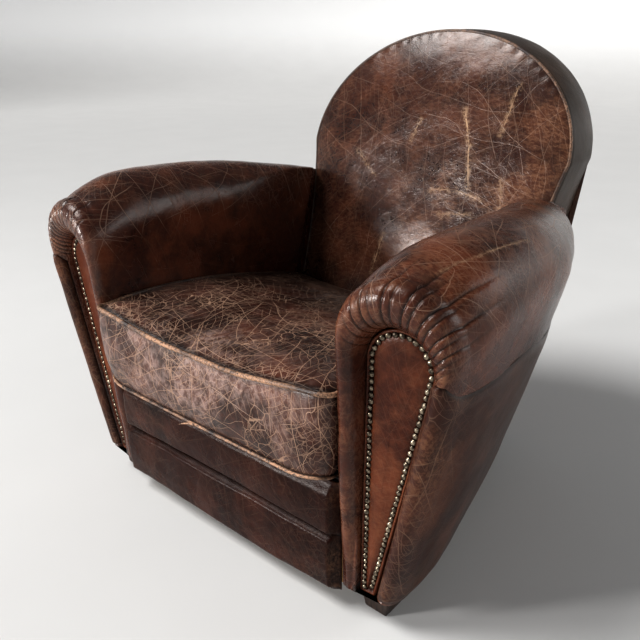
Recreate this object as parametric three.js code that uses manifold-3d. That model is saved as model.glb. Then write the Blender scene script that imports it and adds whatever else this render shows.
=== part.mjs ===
// A worn leather club chair, built the way an upholsterer builds one: a hardwood frame on four
// block feet, zigzag springs, padding, and leather panels over it. Millimetres, +Z up.
// The chair faces -Y and its left and right sides mirror each other across X = 0.
// The origin is on the floor, below the middle of the chair.
import * as THREE from 'three';
import { mergeVertices } from 'three/addons/utils/BufferGeometryUtils.js';
import Module from 'manifold-3d';

const wasm = await Module();
wasm.setup();

// ---- Driving dimensions ------------------------------------------------------------------
const GAP = 0.3; // clearance between pieces that touch
const HOLLOW = 3; // room that the padding leaves round the timbers inside it
const CHAIR_Y = -7.2; // puts the middle of the whole chair, front to back, at Y = 0
const SEAT_HALF = 270; // half the width between the arms
const FOOT_TOP = 48; // underside of the arms and of the wooden rails
const SIDE_RAIL_TOP = 114;
const FRONT_RAIL_TOP = 200;
const REAR_RAIL_TOP = 124;
const RAIL_FRONT = -392; // front of the leather on the front rail
const RAIL_HEM = 36; // lower edge of the leather on the front rail
const RAIL_SEAM = 139; // seam between the two leather bands on the front rail
const DECK_SLOPE = 8.1; // degrees that springs and seat deck fall towards the back
const FACING_LEAN = 1.2; // degrees that the arm facings lean forwards
const FACING_TURN = 4; // degrees that their outer edges are swept back
const FACING_Y = -364; // front of the arm facings at their foot
const FACING_PIVOT = 320; // the facings are turned about this distance from the middle
const FRONT_BULGE = 35; // how far the rolled arm front stands round the facing
const FRONT_SHEAR = 0.08; // forward lean of the rolled arm front, per millimetre of height
const FRONT_SWEEP = 0.1; // how far it is swept back, per millimetre outwards
const SLIMMEST_FOOT = 66; // width of the arm at its foot, at least
const ROLL_OVERHANG = 60; // the inner wall of the arm stands at least this far inside the roll

// The back lies in a frame of its own: [x, depth behind its front seam, height up its lean].
const BACK_LEAN = 17.66; // degrees
const BACK_ORIGIN = [0, 179, 400];
const BACK_HALF = 310; // widest half-width, above the arms
const BACK_WAIST = 274; // half-width at the foot, between the arms
const ARCH_START = 231; // height at which the arch of the back starts
const ARCH_RISE = 249;
const BACK_FOOT = -160; // lower edge of the padded back, behind the cushion
const PAD_DEPTH = 58;
const BAND_DEPTH = 95; // depth of the leather band round the edge of the back
const BAND_LIFT = 30; // its rear edge is this much further up the lean, so that it runs level
const FRAME_DEPTH = [65, 95]; // front and rear of the timbers in the back

// Arm stations from front to back: depth, centre of the roll (x, z), its radius, foot half-width.
const ARM_STATIONS = [
  [-374, 361, 460, 89, 362],
  [-339, 364, 486, 90, 364],
  [-300, 369, 503, 92, 365],
  [-240, 373, 517, 91, 360],
  [-80, 366, 518, 86, 327],
  [60, 328, 507, 80, 297],
  [180, 288, 490, 75, 266],
  [260, 262, 473, 68, 244],
  [330, 236, 450, 60, 220],
];

const LEATHER = { color: 0x3a1c12, roughness: 0.42, metalness: 0 };
const WORN_LEATHER = { color: 0x5a3526, roughness: 0.5, metalness: 0 };
const PIPING = { color: 0x6b4630, roughness: 0.55, metalness: 0 };
const BRASS = { color: 0x6f5a35, roughness: 0.35, metalness: 0.9 };
const BEECH = { color: 0xb98f5e, roughness: 0.7, metalness: 0 };
const DARK_WOOD = { color: 0x2a1a12, roughness: 0.5, metalness: 0 };
const STEEL = { color: 0x8a8d90, roughness: 0.4, metalness: 1 };
const HESSIAN = { color: 0x9c8358, roughness: 0.95, metalness: 0 };
const BLACK_CLOTH = { color: 0x171717, roughness: 0.95, metalness: 0 };
const WEBBING = { color: 0x4a4a4a, roughness: 0.9, metalness: 0 };
const FOAM = { color: 0xd9c48a, roughness: 0.95, metalness: 0 };

const rad = THREE.MathUtils.degToRad;
const lerp = THREE.MathUtils.lerp;
const clamp = THREE.MathUtils.clamp;

const chair = new THREE.Group();
chair.position.y = CHAIR_Y;
const back = new THREE.Group();
back.position.set(...BACK_ORIGIN);
back.rotation.x = -rad(BACK_LEAN);
chair.add(back);

// ---- Helpers -----------------------------------------------------------------------------
function addMesh(name, geometry, look, parent = chair) {
  const mesh = new THREE.Mesh(geometry, new THREE.MeshStandardMaterial(look));
  mesh.name = name;
  parent.add(mesh);
  return mesh;
}

// Volume of a triangle mesh; it is negative when the faces point inwards.
function signedVolume(positions, index) {
  const corners = index.map((i) => new THREE.Vector3().fromArray(positions, 3 * i));
  let volume = 0;
  for (let i = 0; i < corners.length; i += 3) {
    volume += corners[i].dot(corners[i + 1].clone().cross(corners[i + 2])) / 6;
  }
  return volume;
}

// Reverses every triangle of an index list.
function turnOver(index) {
  for (let i = 0; i < index.length; i += 3) {
    [index[i + 1], index[i + 2]] = [index[i + 2], index[i + 1]];
  }
}

// Triangles that fill a flat ring, each turning the same way as the ring itself.
function capFaces(ring) {
  const normal = new THREE.Vector3();
  ring.forEach((point, i) => {
    const next = ring[(i + 1) % ring.length];
    normal.add(new THREE.Vector3(...point).cross(new THREE.Vector3(...next)));
  });
  const size = normal.toArray().map(Math.abs);
  const dropped = size.indexOf(Math.max(...size));
  const flatten = (point) => point.filter((_, axis) => axis !== dropped);
  const flat = ring.map((point) => new THREE.Vector2(...flatten(point)));
  const ringTurn = Math.sign(THREE.ShapeUtils.area(flat));
  return THREE.ShapeUtils.triangulateShape(flat, []).map((face) => {
    const faceTurn = Math.sign(THREE.ShapeUtils.area(face.map((i) => flat[i])));
    return faceTurn === ringTurn ? face : [face[0], face[2], face[1]];
  });
}

// A closed body through a row of rings that all have the same number of points. The end rings
// are filled flat, or with `closed` the row joins up with itself.
function loft(rings, closed = false) {
  const size = rings[0].length;
  const positions = rings.flat(2);
  const index = [];
  const spans = closed ? rings.length : rings.length - 1;
  for (let i = 0; i < spans; i += 1) {
    const here = i * size;
    const next = ((i + 1) % rings.length) * size;
    for (let j = 0; j < size; j += 1) {
      const k = (j + 1) % size;
      index.push(here + j, next + j, next + k);
      index.push(here + j, next + k, here + k);
    }
  }
  if (!closed) {
    const end = (rings.length - 1) * size;
    capFaces(rings[0]).forEach((face) => index.push(...face));
    capFaces(rings[rings.length - 1]).forEach(([a, b, c]) => index.push(end + a, end + c, end + b));
  }
  if (signedVolume(positions, index) < 0) {
    turnOver(index);
  }
  const geometry = new THREE.BufferGeometry();
  geometry.setAttribute('position', new THREE.Float32BufferAttribute(positions, 3));
  geometry.setIndex(index);
  return geometry;
}

// A round bar along a list of points. `guide` is a direction that the bar never runs along.
function bar(points, radius, sides, guide, closed = false) {
  const route = points.map((point) => new THREE.Vector3(...point));
  const last = route.length - 1;
  const rings = route.map((point, i) => {
    const before = closed ? route[(i + last) % route.length] : route[Math.max(0, i - 1)];
    const after = closed ? route[(i + 1) % route.length] : route[Math.min(last, i + 1)];
    const along = after.clone().sub(before).normalize();
    const across = new THREE.Vector3(...guide).cross(along).normalize();
    const third = along.clone().cross(across);
    return Array.from({ length: sides }, (_, j) => {
      const angle = (2 * Math.PI * j) / sides;
      const rim = point.clone().addScaledVector(across, radius * Math.cos(angle));
      return rim.addScaledVector(third, radius * Math.sin(angle)).toArray();
    });
  });
  return loft(rings, closed);
}

// A copy of a geometry whose triangles share their corners.
function welded(geometry) {
  const bare = geometry.clone();
  bare.deleteAttribute('normal');
  bare.deleteAttribute('uv');
  return mergeVertices(bare, 1e-4);
}

// The body of a geometry, moved by a matrix, ready for cutting.
function solidOf(geometry, matrix = new THREE.Matrix4()) {
  const merged = welded(geometry).applyMatrix4(matrix);
  return new wasm.Manifold(new wasm.Mesh({
    numProp: 3,
    vertProperties: new Float32Array(merged.attributes.position.array),
    triVerts: new Uint32Array(merged.index.array),
  }));
}

function geometryOf(solid) {
  const mesh = solid.getMesh();
  const geometry = new THREE.BufferGeometry();
  geometry.setAttribute('position', new THREE.BufferAttribute(mesh.vertProperties, 3));
  geometry.setIndex(new THREE.BufferAttribute(mesh.triVerts, 1));
  return geometry;
}

// The left-hand copy of a piece of the right side.
function mirrored(geometry) {
  const copy = welded(geometry).scale(-1, 1, 1);
  turnOver(copy.index.array);
  return copy;
}

// Adds a piece of the right side, and its mirror image on the left.
function addPair(name, geometry, look) {
  addMesh(`right_${name}`, geometry, look);
  addMesh(`left_${name}`, mirrored(geometry), look);
}

// A straight timber: its box, its middle, and its turn about Z and then about its own X.
function timber(size, centre, turnZ = 0, turnX = 0) {
  const turn = new THREE.Euler(rad(turnX), 0, rad(turnZ), 'ZXY');
  return { size, matrix: new THREE.Matrix4().makeRotationFromEuler(turn).setPosition(...centre) };
}

function timberGeometry({ size, matrix }, grow = 0) {
  return new THREE.BoxGeometry(...size.map((side) => side + 2 * grow)).applyMatrix4(matrix);
}

// ---- Arms --------------------------------------------------------------------------------
// A smooth value along the arm stations, by their columns: 1 roll x, 2 roll z, 3 radius, 4 foot.
function alongArm(y, column) {
  const last = ARM_STATIONS.length - 1;
  const slope = (k) => {
    const after = ARM_STATIONS[Math.min(last, k + 1)];
    const before = ARM_STATIONS[Math.max(0, k - 1)];
    return (after[column] - before[column]) / (after[0] - before[0]);
  };
  const above = ARM_STATIONS.findIndex((station) => station[0] > y);
  const i = above < 0 ? last - 1 : clamp(above - 1, 0, last - 1);
  const [here, next] = [ARM_STATIONS[i], ARM_STATIONS[i + 1]];
  const span = next[0] - here[0];
  const t = clamp((y - here[0]) / span, 0, 1);
  const eased = t * t * (3 - 2 * t);
  const leaving = t * (1 - t) * (1 - t) * span * slope(i);
  const arriving = t * t * (1 - t) * span * slope(i + 1);
  return lerp(here[column], next[column], eased) + leaving - arriving;
}

// Angle round a circle at which a line from a point below it touches its outer or inner side.
function touchAngle([x, z], [centreX, centreZ], radius, outer) {
  const towards = Math.atan2(centreZ - z, centreX - x);
  const spread = Math.asin(radius / Math.hypot(centreX - x, centreZ - z));
  return outer ? towards - spread - Math.PI / 2 : towards + spread + Math.PI / 2;
}

// One closed section of the right arm at a depth, drawn in by `inset` at the rounded ends.
function armRing(y, inset) {
  const centre = [alongArm(y, 1), alongArm(y, 2)];
  const radius = alongArm(y, 3) - inset;
  const rollLimit = centre[0] + alongArm(y, 3) - ROLL_OVERHANG;
  const wall = Math.min(SEAT_HALF + GAP, rollLimit) + inset;
  const foot = [alongArm(y, 4) - 0.4 * inset, FOOT_TOP];
  const innerFoot = Math.min(wall, foot[0] - SLIMMEST_FOOT);
  const outline = [
    [innerFoot, FOOT_TOP],
    [innerFoot + 1, 110],
    [wall + 2, 170],
    [wall, 280],
    [wall + 1, 380],
  ];
  const start = Math.acos(clamp((wall - centre[0]) / radius, -1, 1));
  const end = touchAngle(foot, centre, radius, true);
  const arcSteps = 14;
  for (let i = 0; i <= arcSteps; i += 1) {
    const angle = lerp(start, end, i / arcSteps);
    outline.push([centre[0] + radius * Math.cos(angle), centre[1] + radius * Math.sin(angle)]);
  }
  const shoulder = outline[outline.length - 1];
  for (const t of [0.35, 0.7, 1]) {
    const swell = 4 * Math.sin(Math.PI * t);
    outline.push([lerp(shoulder[0], foot[0], t) + swell, lerp(shoulder[1], foot[1], t)]);
  }
  const frontness = clamp(-y / 350, 0, 1);
  return outline.map(([x, z]) => {
    const forward = FRONT_SHEAR * (z - FOOT_TOP) - FRONT_SWEEP * (x - FACING_PIVOT);
    return [x, y - frontness * forward, z];
  });
}

function armBlank() {
  const front = ARM_STATIONS[0][0] + FRONT_BULGE;
  const rounded = [90, 60, 30].map((angle) => {
    const depth = front - FRONT_BULGE * Math.sin(rad(angle));
    return armRing(depth, FRONT_BULGE * (1 - Math.cos(rad(angle))));
  });
  const depths = [front, -320, -270, -200, -120, -40, 40, 110, 170, 230, 285, 330];
  return loft([...rounded, ...depths.map((y) => armRing(y, 0))]);
}

// Places a piece of the facing, made upright at Y = 0, in the plane of the arm's front.
function placeFacing(geometry) {
  geometry.rotateX(rad(FACING_LEAN));
  geometry.translate(-FACING_PIVOT, 0, 0);
  geometry.rotateZ(rad(FACING_TURN));
  return geometry.translate(FACING_PIVOT, FACING_Y, FOOT_TOP);
}

// Keyhole outline of the arm facing, from its foot up, widened all round by `margin`.
function facingShape(margin) {
  const centre = [362, 405];
  const radius = 52 + margin;
  const innerFoot = [300 - margin, -margin];
  const outerFoot = [328 + margin, -margin];
  const shape = new THREE.Shape();
  shape.moveTo(...innerFoot);
  shape.lineTo(...outerFoot);
  const start = touchAngle(outerFoot, centre, radius, true);
  const end = touchAngle(innerFoot, centre, radius, false);
  shape.absarc(...centre, radius, start, end, false);
  return shape;
}

// A plate with the facing's outline between two depths, in the leaning plane of the arm front.
function facingPlate(margin, from, to) {
  const options = { depth: to - from, bevelEnabled: false, curveSegments: 16 };
  const plate = new THREE.ExtrudeGeometry(facingShape(margin), options);
  plate.rotateX(Math.PI / 2);
  plate.translate(0, to, 0);
  return placeFacing(plate);
}

// ---- Hardwood frame ----------------------------------------------------------------------
const SIDE_RAIL = timber([24, 460, SIDE_RAIL_TOP - FOOT_TOP], [288, -100, 81], 10.7);
const ARM_TOP_RAIL = timber([40, 506, 26], [339, -87, 473], 6.6, -4.2);
const FRONT_RAIL = timber([597, 24, FRONT_RAIL_TOP - FOOT_TOP], [0, -361.5, 124]);
const REAR_RAIL = timber([417.4, 24, REAR_RAIL_TOP - FOOT_TOP], [0, 176, 86]);
const POST_X = 225; // middle of the back posts
const POST_WIDTH = 32;
const FRAME_MIDDLE = (FRAME_DEPTH[0] + FRAME_DEPTH[1]) / 2;
const POST_SIZE = [POST_WIDTH, FRAME_DEPTH[1] - FRAME_DEPTH[0], 568];
const BACK_POST = timber(POST_SIZE, [POST_X, FRAME_MIDDLE, ARCH_START - GAP - POST_SIZE[2] / 2]);

// The arched timber that joins the tops of the back posts.
function backTopRail() {
  const outer = POST_X + POST_WIDTH;
  const inner = POST_X - POST_WIDTH;
  const shape = new THREE.Shape();
  shape.absellipse(0, ARCH_START, outer, 205, 0, Math.PI, false);
  shape.absellipse(0, ARCH_START, inner, 145, Math.PI, 0, true);
  const depth = FRAME_DEPTH[1] - FRAME_DEPTH[0];
  const rail = new THREE.ExtrudeGeometry(shape, { depth, bevelEnabled: false, curveSegments: 14 });
  rail.rotateX(Math.PI / 2);
  rail.translate(0, FRAME_DEPTH[1], 0);
  return rail;
}

function addFrame() {
  addPair('side_rail', timberGeometry(SIDE_RAIL), BEECH);
  addPair('arm_top_rail', timberGeometry(ARM_TOP_RAIL), BEECH);
  addPair('arm_front_board', facingPlate(0, 9, 28), BEECH);
  addMesh('front_rail', timberGeometry(FRONT_RAIL), BEECH);
  addMesh('rear_rail', timberGeometry(REAR_RAIL), BEECH);
  addMesh('right_back_post', timberGeometry(BACK_POST), BEECH, back);
  addMesh('left_back_post', mirrored(timberGeometry(BACK_POST)), BEECH, back);
  addMesh('back_top_rail', backTopRail(), BEECH, back);
  const betweenPosts = 2 * (POST_X - POST_WIDTH / 2 - GAP);
  const lowerRail = timber([betweenPosts, 24, 40], [0, FRAME_MIDDLE, -120]);
  addMesh('back_lower_rail', timberGeometry(lowerRail), BEECH, back);
}

// Block feet under the corners, wider at the top.
function addFeet() {
  const height = FOOT_TOP - GAP;
  const block = new THREE.CylinderGeometry(37, 30, height, 4);
  block.rotateX(Math.PI / 2);
  block.rotateZ(Math.PI / 4);
  for (const [place, x, y] of [['front', 318, -328], ['rear', 222, 160]]) {
    for (const [side, sign] of [['right', 1], ['left', -1]]) {
      addMesh(`${side}_${place}_foot`, block, DARK_WOOD).position.set(sign * x, y, height / 2);
    }
  }
}

// ---- Arm upholstery ----------------------------------------------------------------------
// The padded arm, hollowed for its timbers and cut clear of the back and the outside back.
function armPad() {
  let pad = solidOf(armBlank());
  for (const rail of [SIDE_RAIL, ARM_TOP_RAIL, FRONT_RAIL, REAR_RAIL]) {
    pad = pad.subtract(solidOf(timberGeometry(rail, HOLLOW)));
  }
  back.updateMatrix();
  const post = solidOf(timberGeometry(BACK_POST, GAP), back.matrix);
  const clearance = 4;
  const paddedBack = loft([backRing(-32, -clearance), backRing(200, -clearance)]);
  const behindChair = timberGeometry(timber([900, 400, 1400], [0, 447, 50], 0, -11.6));
  const facingPocket = facingPlate(0.4, -80, 28.4);
  pad = pad.subtract(solidOf(facingPocket)).subtract(post);
  return geometryOf(pad.subtract(solidOf(paddedBack, back.matrix)).subtract(solidOf(behindChair)));
}

// The leather panel on the outer side of the arm, between the roll and the foot.
function outsideArmPanel() {
  const rings = [-320, -270, -200, -120, -40, 40, 110, 170, 222].map((y) => {
    const wall = armRing(y, 0).slice(-4).map((point) => new THREE.Vector3(...point));
    const [shoulder, , , foot] = wall;
    wall[0] = shoulder.clone().lerp(wall[1], 0.3);
    const across = new THREE.Vector3(shoulder.z - foot.z, 0, foot.x - shoulder.x).normalize();
    const shifted = (distance) => wall.map((point) => (
      point.clone().addScaledVector(across, distance).toArray()
    ));
    return [...shifted(1), ...shifted(3.5).reverse()];
  });
  return loft(rings);
}

// The row of nails round the facing, as one trim strip.
function nailTrim() {
  const points = facingShape(-8).getPoints(30);
  const route = points.slice(1).map(({ x, y: z }) => [x, -4.4, z]);
  route.push([points[0].x, -4.4, points[0].y]);
  return placeFacing(bar(route, 4, 6, [0, 1, 0]));
}

function addArms() {
  addPair('arm_pad', armPad(), LEATHER);
  addPair('outside_arm_panel', outsideArmPanel(), LEATHER);
  addPair('arm_facing', facingPlate(0, 0, 8.7), LEATHER);
  addPair('nail_trim', nailTrim(), BRASS);
}

// ---- Back upholstery ---------------------------------------------------------------------
// Half-width of the back at a height up its lean: a waist between the arms, then an arch.
function backHalfWidth(height) {
  const climb = (height - BACK_FOOT) / (ARCH_START - BACK_FOOT);
  return lerp(BACK_WAIST, BACK_HALF, climb ** 2.6);
}

// Outline of the back as [x, height], from its lower left over the arch to its lower right,
// moved inwards by `inset` along its own normal.
function backOutline(bottom, inset) {
  const side = [bottom, (bottom + 70) / 2, 70, 110, 150, 190];
  const points = side.map((height) => [-backHalfWidth(height), height]);
  const arcSteps = 20;
  for (let i = 0; i <= arcSteps; i += 1) {
    const angle = Math.PI * (1 - i / arcSteps);
    points.push([BACK_HALF * Math.cos(angle), ARCH_START + ARCH_RISE * Math.sin(angle)]);
  }
  points.push(...side.reverse().map((height) => [backHalfWidth(height), height]));
  return points.map(([x, height], i) => {
    const before = points[Math.max(0, i - 1)];
    const after = points[Math.min(points.length - 1, i + 1)];
    const [alongX, alongZ] = [after[0] - before[0], after[1] - before[1]];
    const length = Math.hypot(alongX, alongZ);
    return [x + (inset * alongZ) / length, height - (inset * alongX) / length];
  });
}

// One closed ring of the back at a depth behind its front seam, scaled about its middle.
function backRing(depth, inset, scale = 1) {
  const middle = 150;
  return backOutline(BACK_FOOT, inset).map(([x, height]) => (
    [x * scale, depth, middle + (height - middle) * scale]
  ));
}

// The padded front of the back, crowned in the middle.
function insideBack() {
  const edge = 9;
  return loft([
    backRing(-24, 0, 0.35),
    backRing(-18, 0, 0.7),
    backRing(-9, 0, 0.9),
    backRing(2, edge),
    backRing(PAD_DEPTH, edge + 9),
  ]);
}

// The band of leather round the edge of the back. It runs level, from the front seam rearwards.
function backBand() {
  const inner = backOutline(30, 6);
  const rings = backOutline(30, 1).map(([x, height], i) => [
    [x, 5, height],
    [x, BAND_DEPTH, height + BAND_LIFT],
    [inner[i][0], BAND_DEPTH, inner[i][1] + BAND_LIFT],
    [inner[i][0], 5, inner[i][1]],
  ]);
  return loft(rings);
}

// The piping between the padded front of the back and its band.
function backWelt() {
  const route = backOutline(-90, 2).map(([x, height]) => [x, -1, height]);
  return bar(route, 5, 6, [0, 1, 0]);
}

// The outside back: a leather panel that leans back and bows in plan.
function outsideBack() {
  const thickness = 5;
  const depthAt = (x, z) => 269 + (z - 50) * 0.205 - 22 * (x / 300) ** 2;
  const side = [0, 0.25, 0.5, 0.75, 1].map((t) => [
    lerp(232, 296, Math.sin((t * Math.PI) / 2)),
    lerp(44, 480, t),
  ]);
  const outline = side.map(([x, z]) => [-x, z]);
  const arcSteps = 14;
  for (let i = 0; i <= arcSteps; i += 1) {
    const angle = Math.PI * (1 - i / arcSteps);
    outline.push([304 * Math.cos(angle), 620 + 236 * Math.sin(angle)]);
  }
  outline.push(...side.reverse());
  const ring = (scale, offset) => outline.map(([x, z]) => {
    const [ringX, ringZ] = [x * scale, 430 + (z - 430) * scale];
    return [ringX, depthAt(ringX, ringZ) + offset, ringZ];
  });
  return loft([ring(0.5, 0), ring(1, 0), ring(1, thickness), ring(0.5, thickness)]);
}

function addBack() {
  addMesh('inside_back', insideBack(), LEATHER, back);
  addMesh('back_band', backBand(), LEATHER, back);
  addMesh('back_welt', backWelt(), PIPING, back);
  addMesh('outside_back', outsideBack(), LEATHER);
  const strapSize = [2 * (POST_X + 20), 2, 50];
  ['lower', 'middle', 'upper'].forEach((place, i) => {
    const strap = timber(strapSize, [0, (PAD_DEPTH + FRAME_DEPTH[0]) / 2, -40 + 110 * i]);
    addMesh(`back_strap_${place}`, timberGeometry(strap), WEBBING, back);
  });
}

// ---- Seat --------------------------------------------------------------------------------
// The seat's own frame starts above the front rail and falls towards the back.
const SEAT_ORIGIN = [0, -360, 204];
const HESSIAN_Z = [2.4, 3.6];
const DECK_Z = [4, 29];
const seat = new THREE.Group();
seat.position.set(...SEAT_ORIGIN);
seat.rotation.x = -rad(DECK_SLOPE);
chair.add(seat);

// A zigzag spring from the front rail to the rear rail.
function zigzagSpring() {
  const [length, swing, bends, stepsPerBend] = [530, 21, 14, 3];
  const steps = bends * stepsPerBend;
  const route = Array.from({ length: steps + 1 }, (_, i) => {
    const t = i / steps;
    return [swing * Math.sin(Math.PI * bends * t), 4 + length * t, 0];
  });
  return bar(route, 1.9, 5, [0, 0, 1]);
}

// A flat sheet in the seat's frame that narrows towards the rear, between two heights.
function seatSheet(inset, [low, high]) {
  const half = 262 - inset;
  const rearHalf = 205 - inset;
  const outline = [[half, -12 + inset], [half, 300], [rearHalf, 496 - inset]];
  const mirroredOutline = outline.map(([x, y]) => [-x, y]).reverse();
  const shape = new THREE.Shape([...outline, ...mirroredOutline].map((p) => new THREE.Vector2(...p)));
  const sheet = new THREE.ExtrudeGeometry(shape, { depth: high - low, bevelEnabled: false });
  return sheet.translate(0, 0, low);
}

// A leather band across the front rail, between two heights, softly rounded forwards.
function railBand(low, high) {
  const [rear, edge, front] = [RAIL_FRONT + 18, RAIL_FRONT + 5, RAIL_FRONT];
  const quarter = (high - low) / 4;
  const profile = [
    [rear, low],
    [edge, low],
    [front, low + quarter],
    [front, high - quarter],
    [edge, high],
    [rear, high],
  ];
  const ends = [-SEAT_HALF, SEAT_HALF];
  return loft(ends.map((x) => profile.map(([y, z]) => [x, y, z])));
}

// The cloth that closes the chair from below, between its feet.
function dustCover() {
  const half = [[272, -345], [232, -60], [188, 110], [188, 184]];
  const outline = [...half, ...half.map(([x, y]) => [-x, y]).reverse()];
  const shape = new THREE.Shape(outline.map((p) => new THREE.Vector2(...p)));
  const cover = new THREE.ExtrudeGeometry(shape, { depth: 1.2, bevelEnabled: false });
  return cover.translate(0, 0, FOOT_TOP - GAP - 1.2);
}

function addSeat() {
  addMesh('front_rail_upper_band', railBand(RAIL_SEAM + GAP, 234), LEATHER);
  addMesh('front_rail_lower_band', railBand(RAIL_HEM, RAIL_SEAM), LEATHER);
  addMesh('dust_cover', dustCover(), BLACK_CLOTH);
  [-180, -60, 60, 180].forEach((x, i) => {
    addMesh(`seat_spring_${i + 1}`, zigzagSpring(), STEEL, seat).position.x = x;
  });
  addMesh('spring_hessian', seatSheet(3, HESSIAN_Z), HESSIAN, seat);
  addMesh('seat_deck', seatSheet(0, DECK_Z), BLACK_CLOTH, seat);
}

// ---- Loose cushion -----------------------------------------------------------------------
const CUSHION = { half: 258, front: -53, rear: 464, corner: 20 };
const CUSHION_SEAMS = [36, 178]; // heights of the lower and the upper seam
const ZIP = { half: 180, z: [96, 110] };

// Plan of the cushion: rounded corners, and a front that bows forwards.
function cushionPlan(inset) {
  const { half, front, rear, corner } = CUSHION;
  const plan = [];
  const corners = [
    [half - corner, rear - corner],
    [-half + corner, rear - corner],
    [-half + corner, front + corner],
    [half - corner, front + corner],
  ];
  corners.forEach(([x, y], side) => {
    for (let i = 0; i <= 4; i += 1) {
      const angle = (side + i / 4) * (Math.PI / 2);
      const radius = corner - inset;
      plan.push([x + radius * Math.cos(angle), y + radius * Math.sin(angle)]);
    }
    const next = corners[(side + 1) % 4];
    const outwards = (side + 1) * (Math.PI / 2);
    const bow = side === 2 ? 8 : 2;
    for (const t of [0.25, 0.5, 0.75]) {
      const reach = corner - inset + bow * Math.sin(Math.PI * t);
      plan.push([
        lerp(x, next[0], t) + reach * Math.cos(outwards),
        lerp(y, next[1], t) + reach * Math.sin(outwards),
      ]);
    }
  });
  return plan;
}

// One ring of the cushion; its sides stand up a little where the arms squeeze it.
function cushionRing(z, inset, scale = 1, squeeze = 0) {
  const middle = (CUSHION.front + CUSHION.rear) / 2;
  return cushionPlan(inset).map(([x, y]) => {
    const along = clamp((y - CUSHION.front) / (CUSHION.rear - CUSHION.front), 0, 1);
    const rise = squeeze * Math.sin(Math.PI * along) * (Math.abs(x) / CUSHION.half) ** 4;
    return [x * scale, middle + (y - middle) * scale, z + rise];
  });
}

// The body of the cushion, made smaller all round by `shrink`.
function cushionBody(shrink) {
  const [lower, upper] = CUSHION_SEAMS;
  return loft([
    cushionRing(DECK_Z[1] + GAP + shrink, shrink, 0.8),
    cushionRing(lower + shrink, shrink),
    cushionRing((lower + upper) / 2, shrink - 6),
    cushionRing(upper - shrink, shrink, 1, 16),
    cushionRing(upper + 12 - shrink, shrink, 0.8, 8),
    cushionRing(upper + 18 - shrink, shrink, 0.45),
  ]);
}

// The leather cover, with a slot for its zip at the rear.
function cushionCover() {
  const leather = solidOf(cushionBody(0)).subtract(solidOf(cushionBody(3)));
  const [low, high] = ZIP.z;
  const size = [2 * ZIP.half, 60, high - low];
  const slot = timber(size, [0, CUSHION.rear, (low + high) / 2]);
  return geometryOf(leather.subtract(solidOf(timberGeometry(slot))));
}

function cushionZip() {
  const [low, high] = ZIP.z;
  const size = [2 * (ZIP.half - GAP), 2, high - low - 2 * GAP];
  return timberGeometry(timber(size, [0, CUSHION.rear + 6.2, (low + high) / 2]));
}

// The piping along a seam of the cushion, as a closed loop.
function cushionWelt(seam, squeeze) {
  const outward = 5;
  const upward = seam === CUSHION_SEAMS[1] ? 3.5 : -2.5;
  const route = cushionRing(seam + upward, -outward, 1, squeeze);
  return bar(route, 4.2, 6, [0, 0, 1], true);
}

function addCushion() {
  addMesh('cushion_cover', cushionCover(), WORN_LEATHER, seat);
  addMesh('cushion_foam', cushionBody(3.5), FOAM, seat);
  addMesh('cushion_zip', cushionZip(), BRASS, seat);
  addMesh('cushion_welt_lower', cushionWelt(CUSHION_SEAMS[0], 0), PIPING, seat);
  addMesh('cushion_welt_upper', cushionWelt(CUSHION_SEAMS[1], 16), PIPING, seat);
}

addFrame();
addFeet();
addArms();
addBack();
addSeat();
addCushion();

export default chair;
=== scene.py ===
import math

import bmesh
import bpy
import numpy as np
from mathutils import Matrix, Vector, noise
from mathutils.kdtree import KDTree


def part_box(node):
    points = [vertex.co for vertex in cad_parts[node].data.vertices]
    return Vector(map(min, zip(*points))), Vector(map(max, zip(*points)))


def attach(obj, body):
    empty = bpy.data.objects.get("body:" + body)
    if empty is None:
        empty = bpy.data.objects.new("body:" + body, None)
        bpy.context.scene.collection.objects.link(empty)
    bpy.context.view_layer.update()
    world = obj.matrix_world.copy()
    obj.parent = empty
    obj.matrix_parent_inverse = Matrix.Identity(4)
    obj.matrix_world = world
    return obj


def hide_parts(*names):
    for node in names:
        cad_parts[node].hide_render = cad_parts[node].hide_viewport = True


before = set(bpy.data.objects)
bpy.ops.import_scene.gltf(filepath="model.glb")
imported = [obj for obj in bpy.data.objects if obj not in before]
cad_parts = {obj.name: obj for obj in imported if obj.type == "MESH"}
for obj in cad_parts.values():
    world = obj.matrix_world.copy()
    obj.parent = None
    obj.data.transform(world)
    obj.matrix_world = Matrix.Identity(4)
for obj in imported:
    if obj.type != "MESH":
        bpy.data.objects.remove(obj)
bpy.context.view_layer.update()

# ---- Dimensions shared with the solids ----------------------------------------------------
CHAIR_Y = -0.0072  # the solids are drawn about a point this far from the row's origin
SEAT_HALF = 0.270
FOOT_TOP = 0.048
RAIL_FRONT = -0.392
RAIL_HEM = 0.031
RAIL_SEAM = 0.139
RAIL_TOP = 0.234
FACING_LEAN = math.radians(1.2)
FACING_TURN = math.radians(4)
FACING_Y = -0.364
FACING_PIVOT = 0.320
KEYHOLE = (0.362, 0.405)
KEYHOLE_RADIUS = 0.052
FACING_FOOT = (0.300, 0.328)
BACK_LEAN = math.radians(17.66)
BACK_ORIGIN = (0.0, 0.179, 0.400)
BACK_HALF = 0.310
BACK_WAIST = 0.274
ARCH_START = 0.231
ARCH_RISE = 0.249
BACK_FOOT = -0.160
BAND_DEPTH = 0.095
BAND_LIFT = 0.030
SEAT_ORIGIN = (0.0, -0.360, 0.204)
DECK_SLOPE = math.radians(8.1)

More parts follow.
